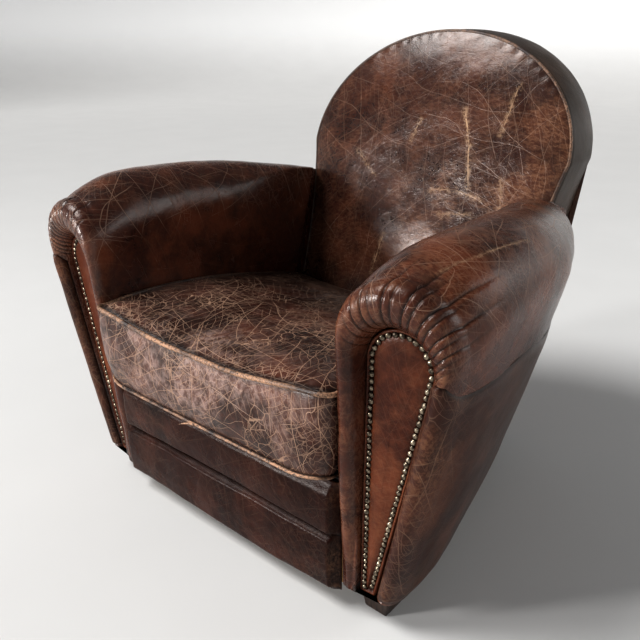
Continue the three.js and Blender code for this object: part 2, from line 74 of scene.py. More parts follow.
# Arm stations: depth, centre of the roll (x, z), its radius, foot half-width.
ARM_STATIONS = np.array([
    [-0.374, 0.361, 0.460, 0.089, 0.362],
    [-0.339, 0.364, 0.486, 0.090, 0.364],
    [-0.300, 0.369, 0.503, 0.092, 0.365],
    [-0.240, 0.373, 0.517, 0.091, 0.360],
    [-0.080, 0.366, 0.518, 0.086, 0.327],
    [0.060, 0.328, 0.507, 0.080, 0.297],
    [0.180, 0.288, 0.490, 0.075, 0.266],
    [0.260, 0.262, 0.473, 0.068, 0.244],
    [0.330, 0.236, 0.450, 0.060, 0.220],
])


# ---- Small helpers -----------------------------------------------------------------------
def smooth(x, low=0.0, high=1.0):
    """A smooth step from 0 to 1 between two levels."""
    t = np.clip((np.asarray(x, float) - low) / (high - low), 0, 1)
    return t * t * (3 - 2 * t)


def lerp(a, b, t):
    """The value at a share of the way from a to b."""
    return a + (b - a) * t


def bump(x, centre, width):
    """A soft hill of height 1."""
    return np.exp(-(((np.asarray(x, float) - centre) / width) ** 2))


def fbm(points, scale, octaves=3, seed=0.0):
    """Smooth seeded noise from -1 to 1 at each point."""
    flat = points.reshape(-1, 3) * scale + np.array([seed * 7.13, seed * 3.71, seed * 5.37])
    values = np.zeros(len(flat))
    size, total = 1.0, 0.0
    for octave in range(octaves):
        values += size * np.array([noise.noise(Vector(p)) for p in flat * 2.0 ** octave])
        total += size
        size *= 0.5
    return (values / total).reshape(points.shape[:-1])


def grid_normals(grid, wrap=False):
    """Unit normals of a grid of points, shaped (rows, columns, 3)."""
    if wrap:
        across = np.roll(grid, -1, axis=1) - np.roll(grid, 1, axis=1)
    else:
        across = np.gradient(grid, axis=1)
    along = np.gradient(grid, axis=0)
    normal = np.cross(along, across)
    length = np.linalg.norm(normal, axis=2, keepdims=True)
    return normal / np.maximum(length, 1e-12)


def grid_faces(rows, columns, wrap=False):
    """Four-sided faces between neighbouring points of a grid."""
    i = np.arange(rows - 1)[:, None] * columns
    last = columns if wrap else columns - 1
    j = np.arange(last)[None, :]
    k = (j + 1) % columns
    quads = np.stack([i + j, i + k, i + columns + k, i + columns + j], axis=2)
    return quads.reshape(-1, 4).tolist()


def capped_faces(rows, columns):
    """Faces of a closed form whose rows are rings, with a cap over its first and last ring."""
    faces = grid_faces(rows, columns, wrap=True)
    faces.append(list(range(columns)))
    faces.append(list(range(rows * columns - 1, (rows - 1) * columns - 1, -1)))
    return faces


def two_sided(front, back):
    """A thin closed form: two grids of the same shape, joined along their border."""
    rows, columns = front.shape[:2]
    count = rows * columns
    faces = grid_faces(rows, columns)
    faces += [[i + count for i in reversed(face)] for face in faces]
    border = list(range(columns)) + [(row + 1) * columns - 1 for row in range(1, rows)]
    border += [count - columns + column for column in range(columns - 2, -1, -1)]
    border += [row * columns for row in range(rows - 2, 0, -1)]
    for a, b in zip(border, border[1:] + border[:1]):
        faces.append([b, a, a + count, b + count])
    return np.stack([front, back]), faces


def tilted(points, angle, origin):
    """From a frame that leans back by an angle about an origin to the row."""
    x, y, z = points[..., 0], points[..., 1], points[..., 2]
    cos, sin = math.cos(angle), math.sin(angle)
    return np.stack([x, origin[1] + y * cos + z * sin, origin[2] - y * sin + z * cos], axis=-1)


def outward_normals(grid):
    """Unit normals of a closed grid, turned to the outside."""
    normal = grid_normals(grid, wrap=True)
    centre = grid.mean(axis=(0, 1))
    return -normal if np.mean(np.sum(normal * (grid - centre), axis=2)) < 0 else normal


def add_to_scene(name, data):
    """An object that holds the data, linked into the scene."""
    made = bpy.data.objects.new(name, data)
    bpy.context.scene.collection.objects.link(made)
    return made


def add_piece(name, points, faces, material, slot, node, fill=None, **marks):
    """A closed piece that rides on the chair. Marks steer its material, with a value per point."""
    mesh = bpy.data.meshes.new(name)
    placed = points.reshape(-1, 3) + np.array([0, CHAIR_Y, 0])
    mesh.from_pydata(placed.tolist(), [], faces)
    mesh.validate()
    for mark in ("wear", "crack", "fold", "tone"):
        values = np.broadcast_to(marks.get(mark, 0.0), points.shape[:-1])
        layer = mesh.attributes.new(mark, "FLOAT", "POINT")
        layer.data.foreach_set("value", values.astype(np.float32).ravel())
    mesh.materials.append(MATERIALS[material])
    mesh.shade_smooth()
    piece = add_to_scene(name, mesh)
    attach(piece, "root")
    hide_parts(node)
    # All faces are turned to the outside.
    work = bmesh.new()
    work.from_mesh(mesh)
    bmesh.ops.remove_doubles(work, verts=work.verts, dist=1e-6)
    bmesh.ops.recalc_face_normals(work, faces=work.faces)
    work.to_mesh(mesh)
    work.free()
    return piece


def tube(route, radius, sides=10, closed=False, guide=(0, 1, 0)):
    """Points and faces of a round bar along a route; radius may vary along it."""
    route = np.asarray(route, float)
    count = len(route)
    if closed:
        along = np.roll(route, -1, axis=0) - np.roll(route, 1, axis=0)
    else:
        along = np.gradient(route, axis=0)
    along /= np.linalg.norm(along, axis=1, keepdims=True)
    across = np.cross(np.asarray(guide, float), along)
    across /= np.linalg.norm(across, axis=1, keepdims=True)
    third = np.cross(along, across)
    angle = np.linspace(0, 2 * math.pi, sides, endpoint=False)
    reach = np.broadcast_to(np.asarray(radius, float), (count,))[:, None, None]
    ring = across[:, None] * np.cos(angle)[None, :, None]
    ring = ring + third[:, None] * np.sin(angle)[None, :, None]
    points = route[:, None] + ring * reach
    if not closed:
        return points.reshape(-1, 3), capped_faces(count, sides)
    last = (count - 1) * sides
    faces = grid_faces(count, sides, wrap=True)
    faces += [[last + j, last + (j + 1) % sides, (j + 1) % sides, j] for j in range(sides)]
    return points.reshape(-1, 3), faces


def resample(route, spacing, closed=False):
    """Evenly spaced points along a route."""
    route = np.asarray(route, float)
    if closed:
        route = np.vstack([route, route[:1]])
    steps = np.linalg.norm(np.diff(route, axis=0), axis=1)
    run = np.concatenate([[0], np.cumsum(steps)])
    count = max(4, int(round(run[-1] / spacing)))
    at = np.linspace(0, run[-1], count + 1)
    if closed:
        at = at[:-1]
    return np.stack([np.interp(at, run, route[:, k]) for k in range(3)], axis=1)


# ---- Materials ---------------------------------------------------------------------------
class Net:
    """Short names for building a material's nodes."""

    def __init__(self, name):
        self.material = bpy.data.materials.new(name)
        self.material.use_nodes = True
        self.tree = self.material.node_tree
        self.shader = self.tree.nodes["Principled BSDF"]
        self.place = self.node("ShaderNodeTexCoord", {})["Object"]
        self.normal = self.node("ShaderNodeNewGeometry", {})["Normal"]

    def feed(self, socket, value):
        """Links or sets a socket; None leaves it as it is."""
        if hasattr(value, "links"):
            self.tree.links.new(value, socket)
        elif value is not None:
            socket.default_value = value

    def node(self, kind, inputs, **settings):
        """A node with its settings made and its inputs fed. Gives the node's outputs."""
        made = self.tree.nodes.new(kind)
        for key, value in settings.items():
            setattr(made, key, value)
        for key, value in inputs.items():
            self.feed(made.inputs[key], value)
        return made.outputs

    def math(self, operation, a, b=None, clamp=False):
        settings = {"operation": operation, "use_clamp": clamp}
        return self.node("ShaderNodeMath", {0: a, 1: b}, **settings)[0]

    def times(self, a, b, clamp=False):
        return self.math("MULTIPLY", a, b, clamp=clamp)

    def plus(self, a, b):
        return self.math("ADD", a, b)

    def minus(self, a, b):
        return self.math("SUBTRACT", a, b)

    def most(self, a, b):
        return self.math("MAXIMUM", a, b)

    def vector(self, operation, a, b=None, scale=None):
        made = self.node("ShaderNodeVectorMath", {0: a, 1: b, 3: scale}, operation=operation)
        return made["Value" if operation in ("LENGTH", "DOT_PRODUCT") else "Vector"]

    def mark(self, name):
        return self.node("ShaderNodeAttribute", {}, attribute_name=name)["Fac"]

    def mapped(self, source, offset=(0, 0, 0), turn=(0, 0, 0), stretch=(1, 1, 1)):
        inputs = {"Vector": source, "Location": offset, "Rotation": turn, "Scale": stretch}
        return self.node("ShaderNodeMapping", inputs)[0]

    def noise(self, source, scale, detail=2.0, rough=0.5, output="Fac"):
        inputs = {"Vector": source, "Scale": scale, "Detail": detail, "Roughness": rough}
        return self.node("ShaderNodeTexNoise", inputs)[output]

    def cells(self, source, scale):
        """Distance to the edges of irregular cells."""
        inputs = {"Vector": source, "Scale": scale}
        return self.node("ShaderNodeTexVoronoi", inputs, feature="DISTANCE_TO_EDGE")["Distance"]

    def ramp(self, value, low, high, to_low=0.0, to_high=1.0):
        """A smooth step between two levels."""
        inputs = dict(enumerate((value, low, high, to_low, to_high)))
        return self.node("ShaderNodeMapRange", inputs, interpolation_type="SMOOTHSTEP")[0]

    def mix(self, amount, a, b):
        inputs = {"Factor": amount, 6: a, 7: b}
        return self.node("ShaderNodeMix", inputs, data_type="RGBA")[2]

    def warped(self, source, scale, amount, detail=2.0):
        """The same place, pushed about by noise."""
        colour = self.noise(source, scale, detail, output="Color")
        push = self.vector("SUBTRACT", colour, (0.5, 0.5, 0.5))
        return self.vector("ADD", source, self.vector("SCALE", push, scale=amount))

    def bumped(self, height, distance, strength=1.0, below=None):
        inputs = {"Height": height, "Distance": distance, "Strength": strength, "Normal": below}
        return self.node("ShaderNodeBump", inputs)[0]

    def finished(self, colour, rough, normal=None, **fixed):
        """The material, with its colour, roughness and surface fed in, and other values set."""
        self.feed(self.shader.inputs["Base Color"], colour)
        self.feed(self.shader.inputs["Roughness"], rough)
        self.feed(self.shader.inputs["Normal"], normal)
        for name, value in fixed.items():
            self.shader.inputs[name.replace("_", " ")].default_value = value
        return self.material


def rgb(red, green, blue):
    """A screen colour from 0 to 255 as the renderer's own value."""
    def one(value):
        value /= 255
        return value / 12.92 if value <= 0.04045 else ((value + 0.055) / 1.055) ** 2.4
    return (one(red), one(green), one(blue), 1.0)


# Leather's own colours, its pale under-layer where rubbed or creased, the scuffs on it, a
# near-black for grime and painted shade, and a grey for a painted sheen.
HIDE = (rgb(40, 17, 13), rgb(63, 29, 20), rgb(102, 52, 33))
TAN = rgb(166, 120, 88)
GREY_TAN = rgb(198, 172, 162)
SCAR = rgb(206, 170, 136)
CREASE = rgb(192, 156, 130)
GRIME_AND_SHADE = rgb(10, 5, 4)
SHEEN_GREY = rgb(66, 60, 54)


def line_family(net, source, direction, spacing, width, wander, seed):
    """Thin lines that run across a direction, bent by noise. Sizes are in metres."""
    aim = Vector(direction).normalized() / spacing
    # The lines keep their width where the surface faces along the direction.
    facing = net.vector("DOT_PRODUCT", net.normal, tuple(Vector(direction).normalized()))
    slant = net.minus(1.0, net.times(facing, facing))
    slant = net.math("SQRT", net.most(slant, 0.03))
    offset = (seed * 1.37, seed * 2.11, seed * 0.73)
    push = net.noise(net.mapped(source, offset), 0.16 / spacing, 1.5, 0.45)
    push = net.times(net.minus(push, 0.5), wander * 2.0)
    along = net.plus(net.vector("DOT_PRODUCT", source, tuple(aim)), push)
    away = net.math("ABSOLUTE", net.minus(net.math("FRACT", along), 0.5))
    half = net.times(slant, width / spacing)
    return net.ramp(away, net.times(half, 0.15), half, 1.0, 0.0)


def crackle(net, source, cell, width):
    """The edges of irregular cells. Sizes are in metres."""
    return net.ramp(net.cells(source, 1.0 / cell), 0.1 * width / cell, width / cell, 1.0, 0.0)


def broken(net, line, source, size, share, seed, detail=2.0):
    """Keeps about a share of some lines, so that they fade in and out."""
    gate = net.noise(net.mapped(source, (seed * 0.9, seed * 1.9, seed * 0.4)), 1.0 / size, detail)
    level = 0.5 + 0.30 * (0.5 - share)
    return net.times(line, net.ramp(gate, level - 0.06, level + 0.04))


# Directions that families of creases run across, their spacing, share kept and strength.
LONG_CREASES = [
    ((1.0, 0.35, 0.2), 0.043, 0.46, 1.0), ((0.3, 1.0, 0.5), 0.049, 0.46, 1.0),
    ((-0.8, 0.9, 0.3), 0.046, 0.44, 0.9), ((0.9, 0.8, -0.4), 0.055, 0.42, 0.9),
    ((0.2, -0.4, 1.0), 0.048, 0.40, 0.85), ((-0.5, 0.2, 0.9), 0.042, 0.38, 0.8),
]
HAIR_CREASES = [
    ((1.0, -0.2, 0.4), 0.0130, 0.38, 0.62), ((0.1, 1.0, -0.3), 0.0150, 0.38, 0.62),
    ((0.7, 0.7, 0.5), 0.0110, 0.34, 0.55), ((-0.6, 0.5, 0.8), 0.0120, 0.34, 0.55),
]


def leather(name, seed, colours, long, web, rub, gloss, shine, tan=TAN,
            streak=((0.5, 0.8, 0.9), (1, 4.5, 2.2), 0.10), strokes=(), thin=1.0):
    """Old glossy leather: mottled colour, tan creases, rubbed patches and a fine grain.

    Long creases, the finer web and rubbing have strengths; streak is how the rubbing's fibres
    turn, stretch and fade; strokes are scuffs; thin scales the width of the creases.
    """
    net = Net(name)
    dark, mid, red = colours
    base = net.mapped(net.place, (seed * 3.1, seed * 1.7, seed * 2.3))
    bent = net.warped(base, 12.0, 0.009, 2.0)
    fine = net.warped(bent, 55.0, 0.0018, 2.0)
    wear, crack = net.mark("wear"), net.mark("crack")
    fold, tone = net.mark("fold"), net.mark("tone")

    cloud = net.noise(base, 5.5, 5.0, 0.55)
    speck = net.noise(base, 70.0, 4.0, 0.65)
    colour = net.mix(net.ramp(cloud, 0.36, 0.64), dark, mid)
    colour = net.mix(net.ramp(net.noise(base, 9.0, 4.0, 0.6), 0.46, 0.70), colour, red)
    colour = net.mix(net.ramp(speck, 0.35, 0.75, 0.0, 0.40), colour, red)
    # Painted grey sheen where the mark asks for it.
    colour = net.mix(net.times(tone, 0.6), colour, SHEEN_GREY)

    lines = 0.0
    for k, (direction, spacing, share, strength) in enumerate(LONG_CREASES):
        line = line_family(net, fine, direction, spacing, 0.0011 * thin, 1.15, seed + k)
        line = broken(net, line, base, 0.150, share, seed + 3 * k, 0.5)
        lines = net.most(lines, net.times(line, strength * long))
    for k, (direction, spacing, share, strength) in enumerate(HAIR_CREASES):
        line = line_family(net, fine, direction, spacing, 0.0007 * thin, 0.9, seed + 5 + k)
        line = broken(net, line, base, 0.075, share, seed + 4 * k, 1.0)
        lines = net.most(lines, net.times(line, strength * web))
    torn = net.warped(fine, 28.0, 0.016, 3.0)
    wide_web = broken(net, crackle(net, torn, 0.026, 0.0009), base, 0.11, 0.36, seed + 1)
    fine_web = broken(net, crackle(net, torn, 0.012, 0.0007), base, 0.08, 0.30, seed + 2)
    lines = net.most(lines, net.times(wide_web, 0.55 * web))
    lines = net.most(lines, net.times(fine_web, 0.35 * web))
    lines = net.times(lines, crack, clamp=True)
    scars = 0.0
    for stroke in strokes:
        scars = net.most(scars, scratch(net, fine, seed, *stroke))

    turn, stretch, least = streak
    fibres = net.noise(net.mapped(fine, turn=turn, stretch=stretch), 70.0, 4.0, 0.7)
    haze = net.noise(bent, 9.0, 5.0, 0.62)
    streaks = net.ramp(fibres, 0.40, 0.62, least, 1.0)
    rubbed = net.times(net.ramp(haze, 0.40, 0.60, 0.06, 1.0), streaks)
    rubbed = net.times(rubbed, net.times(wear, rub), clamp=True)
    colour = net.mix(net.times(rubbed, 0.66), colour, tan)
    colour = net.mix(net.times(lines, 0.70), colour, CREASE)
    if strokes:
        colour = net.mix(net.times(scars, 0.92), colour, SCAR)
    # Grime and painted shade where the mark asks for it.
    colour = net.mix(net.times(fold, 0.93), colour, GRIME_AND_SHADE)

    grain = net.cells(net.warped(base, 120.0, 0.004), 330.0)
    pores = net.ramp(grain, 0.0, 0.32)
    wrinkle = net.noise(net.mapped(fine, stretch=(1, 1.8, 1)), 75.0, 3.0, 0.6)
    height = net.plus(net.times(pores, 0.22), net.times(wrinkle, 0.9))
    height = net.minus(height, net.times(lines, 0.8))
    swell = net.bumped(net.noise(base, 16.0, 2.0), 0.006, 0.24)
    normal = net.bumped(height, 0.0011, 0.34, below=swell)

    rough = net.plus(gloss, net.times(net.noise(base, 20.0, 4.0), 0.14))
    rough = net.plus(rough, net.times(lines, 0.20))
    rough = net.plus(rough, net.times(rubbed, 0.10))
    return net.finished(colour, rough, normal, Specular_IOR_Level=shine,
                        Specular_Tint=(1.0, 0.92, 0.88, 1.0))


def scratch(net, source, seed, start, end, width, strength, soft=0.010, depth=(0, -0.953, 0.303)):
    """A pale scuff between two points of the row, whatever their depth along a direction."""
    offset = Vector((seed * 3.1, seed * 1.7, seed * 2.3))
    face = Vector(depth).normalized()
    run = Vector(end) - Vector(start)
    run = run - face * run.dot(face)
    away = net.vector("SUBTRACT", source, tuple(Vector(start) + offset))
    inwards = net.vector("SCALE", tuple(face), scale=net.vector("DOT_PRODUCT", away, tuple(face)))
    away = net.vector("SUBTRACT", away, inwards)
    share = net.math("DIVIDE", net.vector("DOT_PRODUCT", away, tuple(run)), run.length_squared)
    share = net.math("MINIMUM", net.most(share, 0.0), 1.0)
    nearest = net.vector("SCALE", tuple(run), scale=share)
    distance = net.vector("LENGTH", net.vector("SUBTRACT", away, nearest))
    ragged = net.noise(source, 90.0, 3.0, 0.6)
    distance = net.plus(distance, net.times(ragged, width * 1.2))
    core = net.ramp(distance, width * 0.9, width * 1.9, 1.0, 0.0)
    halo = net.ramp(distance, width, width + soft, 1.0, 0.0)
    streaks = net.ramp(net.noise(source, 130.0, 3.0, 0.7), 0.42, 0.62)
    halo = net.times(net.times(halo, streaks), 0.58)
    taper = net.times(net.ramp(share, 0.0, 0.12), net.ramp(share, 0.8, 1.0, 1.0, 0.0))
    core = net.times(core, net.plus(0.2, net.times(taper, 0.8)))
    gaps = net.ramp(net.noise(source, 75.0, 3.0, 0.6), 0.40, 0.58, 0.30, 1.0)
    core = net.times(core, gaps)
    return net.times(net.most(core, halo), strength)


def piping_leather(name, seed, pale, dark):
    """Piping rubbed pale in flecked patches, more where its wear mark is higher."""
    net = Net(name)
    base = net.mapped(net.place, (seed, seed, seed))
    patches = net.noise(base, 22.0, 4.0, 0.6)
    flecks = net.noise(base, 260.0, 3.0, 0.7)
    amount = net.times(net.ramp(patches, 0.30, 0.62), net.ramp(flecks, 0.30, 0.60))
    amount = net.times(amount, net.mark("wear"), clamp=True)
    colour = net.mix(amount, dark, pale)
    rough = net.plus(0.42, net.times(amount, 0.2))
    return net.finished(colour, rough, net.bumped(net.noise(base, 320.0, 3.0), 0.0006, 0.6))


def antique_brass():
    """Nail heads, tarnished in patches."""
    net = Net("antique_brass")
    tarnish = net.noise(net.place, 160.0, 4.0, 0.65)
    patches = net.noise(net.place, 30.0, 3.0, 0.5)
    amount = net.times(net.ramp(tarnish, 0.35, 0.65), net.ramp(patches, 0.3, 0.7, 0.4, 1.0))
    colour = net.mix(amount, rgb(62, 54, 46), rgb(186, 172, 150))
    rough = net.ramp(tarnish, 0.3, 0.7, 0.42, 0.26)
    return net.finished(colour, rough, net.bumped(tarnish, 0.0004, 0.5), Metallic=0.92)


def wood(name, light, dark, scale=1.0, rough=0.6, stretch=(14, 1.2, 14)):
    """Grain drawn out along one axis, with fine pores."""
    net = Net(name)
    bent = net.warped(net.place, 3.0, 0.05)
    grain = net.noise(net.mapped(bent, stretch=stretch), 9.0 * scale, 5.0, 0.6)
    pores = net.noise(net.mapped(bent, stretch=tuple(4 * s for s in stretch)), 12.0 * scale, 2.0)
    amount = net.plus(net.times(grain, 0.7), net.times(pores, 0.3))
    colour = net.mix(net.ramp(amount, 0.35, 0.65), dark, light)
    rough_now = net.ramp(grain, 0.3, 0.7, rough + 0.1, rough - 0.1)
    return net.finished(colour, rough_now, net.bumped(amount, 0.0006, 0.5))


def cloth(name, thread, shade, pitch):
    """A plain weave of two crossing threads, dusty in places."""
    net = Net(name)
    parts = net.node("ShaderNodeSeparateXYZ", {0: net.warped(net.place, 40.0, 0.0006)})
    turns = 2 * math.pi / pitch
    warp, weft = (net.math("SINE", net.times(parts[axis], turns)) for axis in "XY")
    fuzz = net.noise(net.place, 300.0, 3.0, 0.6)
    weave = net.ramp(net.times(warp, weft), -1.0, 1.0, 0.0, 0.6)
    amount = net.plus(weave, net.times(fuzz, 0.4))
    dust = net.ramp(net.noise(net.place, 7.0, 4.0, 0.6), 0.5, 0.8, 0.0, 0.3)
    colour = net.mix(dust, net.mix(amount, shade, thread), rgb(120, 110, 98))
    return net.finished(colour, 0.95, net.bumped(amount, pitch * 0.4, 0.6))


def old_foam():
    """Foam yellowed by age, with open cells."""
    net = Net("old_foam")
    holes = net.ramp(net.cells(net.place, 420.0), 0.0, 0.3)
    yellow = net.ramp(net.noise(net.place, 8.0, 3.0), 0.3, 0.7)
    colour = net.mix(yellow, rgb(214, 196, 140), rgb(188, 160, 98))
    return net.finished(colour, 0.95, net.bumped(holes, 0.001, 0.7))


def wire_steel():
    """Drawn spring wire, streaked along its length."""
    net = Net("spring_wire")
    streak = net.noise(net.mapped(net.place, stretch=(1, 12, 1)), 60.0, 3.0, 0.6)
    colour = net.mix(streak, rgb(92, 90, 86), rgb(168, 166, 162))
    return net.finished(colour, net.ramp(streak, 0.3, 0.7, 0.5, 0.3), Metallic=1.0)


# Scuffs: start, end, width, strength and, on the arm, softness and the way that they face.
BACK_STROKES = [
    ((0.0804, 0.2478, 0.7066), (0.1053, 0.2249, 0.6419), 0.0019, 0.95),
    ((0.1040, 0.2260, 0.6450), (0.1257, 0.1999, 0.5636), 0.0015, 0.8),
    ((0.1818, 0.2734, 0.7566), (0.1678, 0.2358, 0.6652), 0.0008, 0.7),
    ((0.0412, 0.1937, 0.5479), (0.0989, 0.1959, 0.5548), 0.0008, 0.7),
    ((0.0980, 0.1959, 0.5545), (0.1570, 0.1953, 0.5423), 0.0009, 0.75),
    ((-0.0468, 0.1606, 0.4432), (-0.0642, 0.139, 0.3599), 0.0010, 0.7),
    ((-0.0191, 0.2376, 0.6816), (-0.0328, 0.2233, 0.6408), 0.0009, 0.7),
    ((-0.167, 0.2165, 0.6086), (-0.1047, 0.1982, 0.562), 0.0007, 0.5),
    ((0.0771, 0.1793, 0.5028), (0.1429, 0.1849, 0.5117), 0.0008, 0.6),
    ((0.1889, 0.2099, 0.5836), (0.2045, 0.1916, 0.5197), 0.0008, 0.6),
]
UPWARDS = (0.1, -0.3, 0.95)
RIGHT_ARM_STROKES = [
    ((0.3969, -0.3579, 0.5819), (0.4182, -0.2952, 0.5910), 0.0006, 0.5, 0.004, UPWARDS),
    ((0.4182, -0.2952, 0.5910), (0.4293, -0.1786, 0.5851), 0.0007, 0.6, 0.004, UPWARDS),
]

MATERIALS = {
    "right_arm": leather("right_arm_leather", 1.0, HIDE, long=0.5, web=0.34, rub=0.6,
                         gloss=0.19, shine=0.35, strokes=RIGHT_ARM_STROKES, thin=0.85),
    "left_arm": leather("left_arm_leather", 2.3, HIDE, long=0.55, web=0.4, rub=0.5,
                        gloss=0.18, shine=0.50, thin=0.85),
    "facing": leather("facing_leather", 3.7, (rgb(58, 25, 15), rgb(84, 41, 26), rgb(112, 60, 37)),
                      long=0.15, web=0.30, rub=0.6, gloss=0.25, shine=0.16),
    "panel": leather("outside_leather", 4.1, (rgb(32, 12, 9), rgb(50, 24, 17), rgb(76, 40, 27)),
                     long=0.45, web=0.5, rub=0.6, gloss=0.26, shine=0.20),
    "back": leather("back_leather", 5.9, (rgb(38, 16, 11), rgb(53, 25, 17), rgb(78, 40, 26)),
                    long=0.5, web=0.5, rub=0.7, gloss=0.15, shine=0.48, strokes=BACK_STROKES,
                    thin=0.8),
    "band": leather("band_leather", 6.4, (rgb(24, 14, 11), rgb(37, 23, 18), rgb(50, 31, 24)),
                    long=0.3, web=0.5, rub=0.5, gloss=0.32, shine=0.20),
    "cushion": leather("cushion_leather", 7.2, (rgb(28, 11, 8), rgb(50, 23, 15), rgb(86, 43, 27)),
                       long=1.1, web=1.5, rub=0.60, gloss=0.21, shine=0.32, tan=GREY_TAN,
                       streak=((0.4, 0.3, 0.6), (1.4, 1.2, 1.0), 0.20), thin=0.72),
    "rail": leather("rail_leather", 8.8, (rgb(24, 8, 6), rgb(38, 15, 10), rgb(56, 25, 17)),
                    long=0.3, web=0.6, rub=0.7, gloss=0.21, shine=0.11),
    "outside_back": leather("outside_back_leather", 9.5, HIDE, long=0.6, web=0.8, rub=0.6,
                            gloss=0.34, shine=0.28),
    "piping": piping_leather("worn_piping", 2.0, rgb(186, 144, 114), rgb(40, 22, 15)),
    "brass": antique_brass(),
    "beech": wood("frame_beech", rgb(196, 160, 112), rgb(158, 118, 76)),
    "dark_wood": wood("foot_wood", rgb(58, 36, 24), rgb(28, 17, 12), 2.0, 0.45, (14, 14, 1.4)),
    "steel": wire_steel(),
    "hessian": cloth("hessian_cloth", rgb(168, 142, 98), rgb(112, 90, 58), 0.0022),
    "black": cloth("black_cloth", rgb(40, 40, 41), rgb(16, 16, 17), 0.0010),
    "webbing": cloth("elastic_webbing", rgb(92, 92, 94), rgb(52, 52, 54), 0.0016),
    "foam": old_foam(),
}


# ---- Arms --------------------------------------------------------------------------------
def along_arm(y, column):
    """A smooth value along the arm stations."""
    depth, value = ARM_STATIONS[:, 0], ARM_STATIONS[:, column]
    before = np.concatenate([[0], np.arange(len(depth) - 1)])
    after = np.concatenate([np.arange(1, len(depth)), [len(depth) - 1]])
    slope = (value[after] - value[before]) / (depth[after] - depth[before])
    i = np.clip(np.searchsorted(depth, y, side="right") - 1, 0, len(depth) - 2)
    span = depth[i + 1] - depth[i]
    t = np.clip((y - depth[i]) / span, 0, 1)
    eased = t * t * (3 - 2 * t)
    leaving = t * (1 - t) ** 2 * span * slope[i]
    arriving = t * t * (1 - t) * span * slope[i + 1]
    return lerp(value[i], value[i + 1], eased) + leaving - arriving


def touch_angle(x, z, centre_x, centre_z, radius, outer):
    """Angle round a circle at which a line from a point below it touches it."""
    towards = np.arctan2(centre_z - z, centre_x - x)
    spread = np.arcsin(radius / np.hypot(centre_x - x, centre_z - z))
    half = math.pi / 2
    return towards - spread - half if outer else towards + spread + half


def back_half_width(height):
    """Half the width of the padded back, at heights in its own frame."""
    climb = np.clip((height - BACK_FOOT) / (ARCH_START - BACK_FOOT), 0, None)
    half = lerp(BACK_WAIST, BACK_HALF, np.clip(climb, 0, 1) ** 2.6)
    over = np.clip((height - ARCH_START) / ARCH_RISE, 0, 1)
    return np.where(height > ARCH_START, BACK_HALF * np.sqrt(1 - over ** 2), half)


SIDE_NAMES = {1: "right", -1: "left"}
INNER_SEAM_Z = 0.334  # joint across the band of leather between the seat and the facing
OUTER_SEAM_Z = 0.428  # seam between the roll and the panel below it, on the outer side

# Columns of the arm's skin: up the inner wall, over the roll, down the outside, under the foot.
INNER, ARCH, OUTER, UNDER = 0, 1, 2, 3
ARM_COLUMNS = [(INNER, 46), (ARCH, 200), (OUTER, 50), (UNDER, 8)]
COLUMN_KIND = np.concatenate([[kind] * count for kind, count in ARM_COLUMNS])
COLUMN_SHARE = np.concatenate([np.arange(count) / count for _, count in ARM_COLUMNS])


def front_slope(x, z):
    """How far forwards the plane of the arm's front stands, at places on it."""
    return 0.08 * (z - FOOT_TOP) - 0.1 * (x - FACING_PIVOT)


def arm_section(y):
    """Points of the right arm's skin for depths shaped (rows, columns)."""
    kind = np.broadcast_to(COLUMN_KIND, y.shape)
    share = np.broadcast_to(COLUMN_SHARE, y.shape)
    cx, cz, r, foot = (along_arm(y, column) for column in (1, 2, 3, 4))
    wall = np.minimum(SEAT_HALF + 0.0003, cx + r - 0.060)
    foot_in = np.minimum(wall, foot - 0.066)
    pole = np.maximum(cx, wall + 0.030)
    end = touch_angle(foot, FOOT_TOP, cx, cz, r, True)
    touch_x, touch_z = cx + r * np.cos(end), cz + r * np.sin(end)
    last = np.arctan2(touch_z - cz, touch_x - pole)

    def reach(theta):
        """Distance from the pole to the roll, cut off smoothly at the inner wall."""
        shift = (pole - cx) * np.cos(theta)
        circle = -shift + np.sqrt(np.maximum(shift ** 2 - (pole - cx) ** 2 + r ** 2, 1e-9))
        facing_in = np.cos(theta) < -1e-3
        flat = np.where(facing_in, (wall - pole) / np.where(facing_in, np.cos(theta), -1), 9.0)
        blend = 0.016
        close = np.maximum(blend - np.abs(circle - flat), 0) / blend
        return np.minimum(circle, flat) - close ** 2 * blend / 4

    theta = lerp(math.pi, last, share)
    arch = reach(theta)
    arch_x, arch_z = pole + arch * np.cos(theta), cz + arch * np.sin(theta)
    start_x = pole - reach(np.full_like(y, math.pi))
    inner_z = lerp(FOOT_TOP, cz, share)
    inner_x = foot_in + (wall - foot_in) * smooth((inner_z - FOOT_TOP) / 0.122)
    inner_x = inner_x + (start_x - wall) * smooth((inner_z - 0.28) / (cz - 0.28))
    swell = 0.004 * np.sin(math.pi * share)
    end_reach = reach(last)
    end_x, end_z = pole + end_reach * np.cos(last), cz + end_reach * np.sin(last)
    outer_x, outer_z = lerp(end_x, foot, share) + swell, lerp(end_z, FOOT_TOP, share)
    under_x = lerp(foot, foot_in, share)
    under_z = FOOT_TOP + 0.0015 * np.sin(math.pi * share)
    x = np.choose(kind, [inner_x, arch_x, outer_x, under_x])
    z = np.choose(kind, [inner_z, arch_z, outer_z, under_z])
    frontness = np.clip(-y / 0.350, 0, 1)
    return np.stack([x, y - frontness * front_slope(x, z), z], axis=-1)


def place_facing(points):
    """Moves points drawn upright at y = 0 into the plane of the arm's front."""
    x, y, z = points[..., 0], points[..., 1], points[..., 2]
    cos, sin = math.cos(FACING_LEAN), math.sin(FACING_LEAN)
    y, z = y * cos - z * sin, y * sin + z * cos
    cos, sin = math.cos(FACING_TURN), math.sin(FACING_TURN)
    x = x - FACING_PIVOT
    x, y = x * cos - y * sin, x * sin + y * cos
    return np.stack([x + FACING_PIVOT, y + FACING_Y, z + FOOT_TOP], axis=-1)


